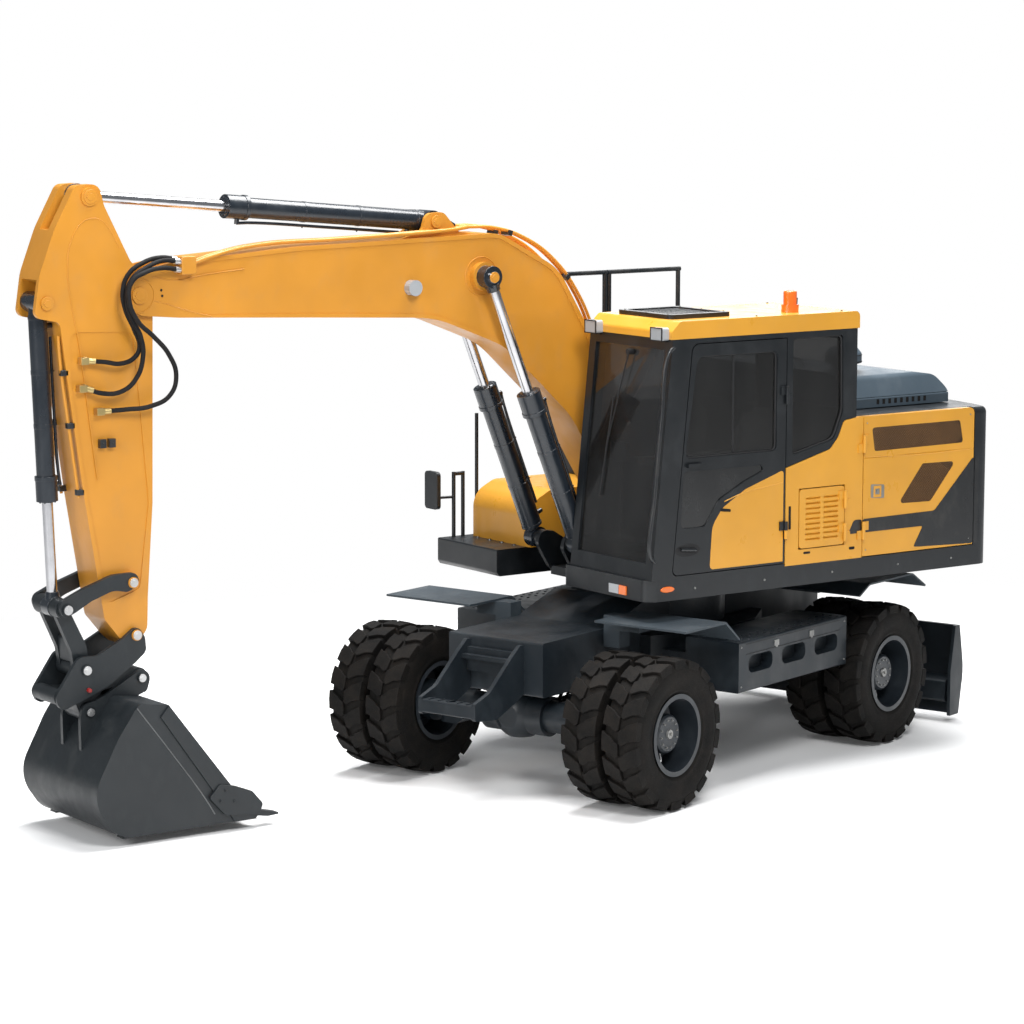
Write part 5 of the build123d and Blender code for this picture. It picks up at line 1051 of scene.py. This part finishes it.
# ---- chassis and belt details
def chassis_details():
    """Non-slip studs, tool box latches and seams, brake hoses and bolts on the chassis."""
    bm = bmesh.new()
    for side in (-1, 1):
        for i in range(14):
            for j in range(3):
                x = -0.62 + 0.095 * i
                y = side * (1.155 - 0.055 * j)
                add_rod(bm, chassis(x, y, 0.984), chassis(x, y, 0.990), 0.014, 12, 0.009)
    add_piece("step_studs", bm, "chassis", "chassis_grey")
    bm = bmesh.new()
    for side in (-1, 1):
        for x in (-0.225, 0.225):
            place = chassis(x, side * 1.1915, 0.925)
            add_box(bm, (-0.028, -0.005, -0.020), (0.028, 0.005, 0.020), CHASSIS_TURN, place)
            add_box(bm, (-0.010, -0.012, -0.030), (0.010, 0.006, 0.000), CHASSIS_TURN, place)
        for x in (-0.66, 0.66):
            for z in (0.68, 0.95):
                add_bolt(bm, chassis(x, side * 1.190, z), CHASSIS_TURN @ Vector((0, side, 0)), 0.009, 0.007)
    add_piece("tool_box_latches", bm, "chassis", "rim_grey", ZINC_DULL, edge=0.002)
    bm = bmesh.new()
    for side in (-1, 1):
        for x0, x1 in ((-0.600, -0.235), (-0.215, 0.215), (0.235, 0.600)):
            for z in (0.895, 0.965):
                add_box(bm, (x0, -0.0015, -0.002), (x1, 0.0022, 0.002), CHASSIS_TURN,
                        chassis(0, side * 1.190, z))
    add_piece("tool_box_seams", bm, "chassis", "chassis_grey", SEAL)
    bm = bmesh.new()
    for i in range(24):
        angle = 2 * math.pi * (i + 0.5) / 24
        place = house(0.538 * math.cos(angle), 0.538 * math.sin(angle), 1.236)
        add_bolt(bm, place, UP, 0.014, 0.012)
    add_piece("slew_ring_bolts", bm, "chassis", "chassis_grey", ZINC_DULL)
    for i, y in enumerate((-0.20, -0.16, 0.16, 0.20)):
        points = places(chassis, (1.05, y, 0.70), (1.28, y * 1.1, 0.640), (1.42, y * 1.5, 0.600),
                        (1.46, y * 2.0, 0.618))
        tube("brake_hose_%d" % (i + 1), points, 0.011, "chassis", "rail_black", RUBBER_HOSE)
    bm = bmesh.new()
    for y in (-0.155, -0.078, 0.0, 0.078, 0.155):
        add_box(bm, (-0.036, -0.004, 0.0), (0.036, 0.004, 0.005), CHASSIS_TURN, chassis(2.3025, y, 0.700))
    add_piece("hitch_bar_ribs", bm, "chassis", "chassis_grey")


def belt_details():
    """Bolts along the belt below the panels, and studs on the front walkway."""
    bm = bmesh.new()
    for x in (-1.7, -1.2, -0.6, 0.0, 0.6):
        add_bolt(bm, house(x, SIDE_Y, 1.375), Vector((0, 1, 0)), 0.010, 0.007)
    add_piece("belt_bolts", bm, "house", "rim_grey", ZINC_DULL)
    bm = bmesh.new()
    for y in (-1.05, -0.90, -0.75, -0.60):
        for x in (0.52, 0.60, 0.68, 0.76):
            add_rod(bm, house(x, y, 1.450), house(x, y, 1.457), 0.018, 14, 0.012)
    add_piece("walkway_studs", bm, "house", "house_grey")


def hood_details():
    """Intake slots as near-black boxes that paint the shade in them, lift handle and exhaust on the hood, the
    air cleaner's bands and the cab's antenna.
    """
    bm = bmesh.new()
    # near-black boxes: painted shade in the intake slots
    for i in range(9):
        x = -1.30 - 0.055 * i
        house_box(bm, (x - 0.012, 0.905 - 0.05, 2.455), (x + 0.012, 0.905 - 0.004, 2.490))
    add_piece("hood_slots", bm, "hood_body", "house_grey", OPENING_SHADE)
    grip = places(house, (-1.12, 0.30, 2.676), (-1.12, 0.30, 2.706), (-1.12, 0.12, 2.706),
                  (-1.12, 0.12, 2.676))
    tube("hood_grip", grip, 0.009, "hood_body", "rail_black")
    pipe = places(house, (-1.55, -0.52, 2.66), (-1.55, -0.52, 2.76), (-1.57, -0.52, 2.83),
                  (-1.63, -0.52, 2.862))
    tube("exhaust_pipe", pipe, 0.045, "hood_body", "engine_iron", resolution=6)
    bm = bmesh.new()
    for low, high, radius, sides in ((2.742, 2.750, 0.131, 40), (2.790, 2.796, 0.131, 40),
                                     (2.850, 2.860, 0.014, 12)):
        add_rod(bm, house(-1.185, 0.660, low), house(-1.185, 0.660, high), radius, sides)
    add_piece("air_cleaner_bands", bm, "hood_body", "rail_black", SEAL, edge=0.002)
    antenna = places(house, (-0.797, 0.60, 3.14), (-0.798, 0.60, 3.17), (-0.800, 0.60, 3.205))
    tube("antenna", antenna, 0.007, "house", "rail_black", SEAL)


def bucket_details():
    """Tooth pins, side cutter blocks and weld lines on the bucket, and the coupler's red cap."""
    bm = bmesh.new()
    for i in range(5):
        y = (i - 2) * 0.448 / 2
        add_rod(bm, house(3.600, y - 0.0395, 0.100), house(3.600, y + 0.0395, 0.100), 0.009, 12)
    add_piece("tooth_pins", bm, "bucket_body", "bucket_grey", BRIGHT)
    bm = bmesh.new()
    corner = [(3.912, 0.241), (3.838, 0.321), (3.723, 0.299), (3.600, 0.251), (3.520, 0.160), (3.545, 0.093),
              (3.797, 0.117)]
    for side in (1, -1):
        plate(bm, rounded(corner, 0.014, 3), side, 0.488, 0.514)
        for x, z in ((3.797, 0.280), (3.834, 0.214), (3.733, 0.201)):
            add_bolt(bm, house(x, side * 0.514, z), Vector((0, side, 0)), 0.014, 0.010)
    add_piece("side_cutter_blocks", bm, "bucket_body", "bucket_grey", edge=0.003)
    for side, word in SIDES:
        ridge("bucket_weld_" + word, [(4.414, 0.875), (4.170, 0.560), (3.934, 0.242), (3.864, 0.131)],
              side * 0.4905, 0.0045, "bucket_body", "bucket_grey", BRIGHT_EDGE)
    bm = bmesh.new()
    add_rod(bm, house(4.575, 0.150, 0.956), house(4.575, 0.186, 0.956), 0.017, 24, 0.013)
    add_piece("coupler_red_cap", bm, "bucket_body", "rim_grey", RED_PAINT)


# ---- stage
FLOOR_LIFT = 0.04                # own light of the floor near the machine, as the camera sees it


def seen_or_lit(tree, lit, seen):
    """Show one shader to the camera and another to the light that bounces."""
    rays = tree.nodes.new("ShaderNodeLightPath")
    either = tree.nodes.new("ShaderNodeMath")
    either.operation = "MAXIMUM"
    choose = tree.nodes.new("ShaderNodeMixShader")
    tree.links.new(rays.outputs["Is Camera Ray"], either.inputs[0])
    tree.links.new(rays.outputs["Is Transmission Ray"], either.inputs[1])
    tree.links.new(either.outputs[0], choose.inputs[0])
    tree.links.new(lit.outputs[0], choose.inputs[1])
    tree.links.new(seen.outputs[0], choose.inputs[2])
    return choose


def stage():
    """White floor that keeps the shadow, a white world behind, and soft lamps."""
    floor_mesh = bpy.data.meshes.new("floor")
    reach = 60.0
    floor_mesh.from_pydata([(-reach, -reach, 0), (reach, -reach, 0), (reach, reach, 0), (-reach, reach, 0)],
                           [], [(0, 1, 2, 3)])
    floor = bpy.data.objects.new("floor", floor_mesh)
    bpy.context.scene.collection.objects.link(floor)
    material, nodes, links, shader = node_tree("floor")
    put(shader, {"Base Color": (0.80, 0.80, 0.80, 1), "Roughness": 0.9, "Specular IOR Level": 0.0})
    near = nodes.new("ShaderNodeBsdfPrincipled")
    put(near, {"Base Color": (0.97, 0.97, 0.97, 1), "Roughness": 1.0, "Specular IOR Level": 0.0,
               "Emission Color": (1, 1, 1, 1), "Emission Strength": FLOOR_LIFT})
    far = nodes.new("ShaderNodeEmission")
    put(far, {"Color": (1, 1, 1, 1), "Strength": 1.0})
    # the floor's own light takes over away from the machine, past its shadow
    place = nodes.new("ShaderNodeTexCoord")
    reach_of = nodes.new("ShaderNodeMapping")
    reach_of.inputs["Scale"].default_value = (0.13, 0.17, 0.0)
    length = nodes.new("ShaderNodeVectorMath")
    length.operation = "LENGTH"
    links.new(place.outputs["Object"], reach_of.inputs[0])
    links.new(reach_of.outputs[0], length.inputs[0])
    fade = nodes.new("ShaderNodeMapRange")
    put(fade, {"From Min": 0.75, "From Max": 1.25})
    links.new(length.outputs["Value"], fade.inputs["Value"])
    blend = nodes.new("ShaderNodeMixShader")
    links.new(fade.outputs[0], blend.inputs[0])
    links.new(near.outputs[0], blend.inputs[1])
    links.new(far.outputs[0], blend.inputs[2])
    choose = seen_or_lit(material.node_tree, shader, blend)
    links.new(choose.outputs[0], nodes["Material Output"].inputs[0])
    floor_mesh.materials.append(material)

    world = bpy.data.worlds.new("sky")
    bpy.context.scene.world = world
    world.use_nodes = True
    tree = world.node_tree
    tree.nodes.clear()
    out = tree.nodes.new("ShaderNodeOutputWorld")
    light = tree.nodes.new("ShaderNodeBackground")
    put(light, {"Color": (0.90, 0.95, 1.0, 1), "Strength": 0.24})
    seen = tree.nodes.new("ShaderNodeBackground")
    put(seen, {"Color": (1, 1, 1, 1), "Strength": 1.0})
    choose = seen_or_lit(tree, light, seen)
    tree.links.new(choose.outputs[0], out.inputs[0])

    # name, place, size, watts, what it points at
    lamps = [
        ("key", (4.0, 11.0, 11.0), 4.0, 1150, (0.0, 0.5, 1.6)),
        ("front", (12.5, 4.0, 6.0), 5.0, 560, (0.0, 0.0, 1.5)),
        ("top", (-1.5, -0.5, 12.0), 8.0, 2600, (0.0, 0.0, 0.0)),
        ("back", (-9.0, -7.0, 7.0), 6.0, 300, (0.0, 0.0, 1.5)),
    ]
    for name, place, size, watts, aim in lamps:
        data = bpy.data.lights.new(name, "AREA")
        data.energy = watts
        data.size = size
        thing = bpy.data.objects.new(name, data)
        thing.location = place
        thing.rotation_euler = (Vector(aim) - Vector(place)).to_track_quat("-Z", "Y").to_euler()
        bpy.context.scene.collection.objects.link(thing)


def camera():
    """The camera that was fitted to the photograph."""
    data = bpy.data.cameras.new("camera")
    data.lens = 120.5
    data.sensor_width = 36.0
    data.clip_end = 200.0
    thing = bpy.data.objects.new("camera", data)
    thing.location = (13.519, 18.877, 5.058)
    heading, pitch, roll = math.radians(234.46), math.radians(-8.03), 0.0016
    look = Vector((math.cos(pitch) * math.cos(heading), math.cos(pitch) * math.sin(heading), math.sin(pitch)))
    turn = look.to_track_quat("-Z", "Y").to_matrix() @ Matrix.Rotation(roll, 3, "Z")
    thing.rotation_euler = turn.to_euler()
    bpy.context.scene.collection.objects.link(thing)
    bpy.context.scene.camera = thing


stage()
camera()
tyres()
wheel_details()
stripe()
grilles()
panel_details()
cab_details()
operator_place()
seat()
cylinder_details()
pin_caps()
boom_pipes()
boom_arm_hoses()
arm_lines()
weld_beads()
plate_lines()
chassis_details()
belt_details()
hood_details()
bucket_details()

bpy.context.scene.view_settings.view_transform = "Standard"
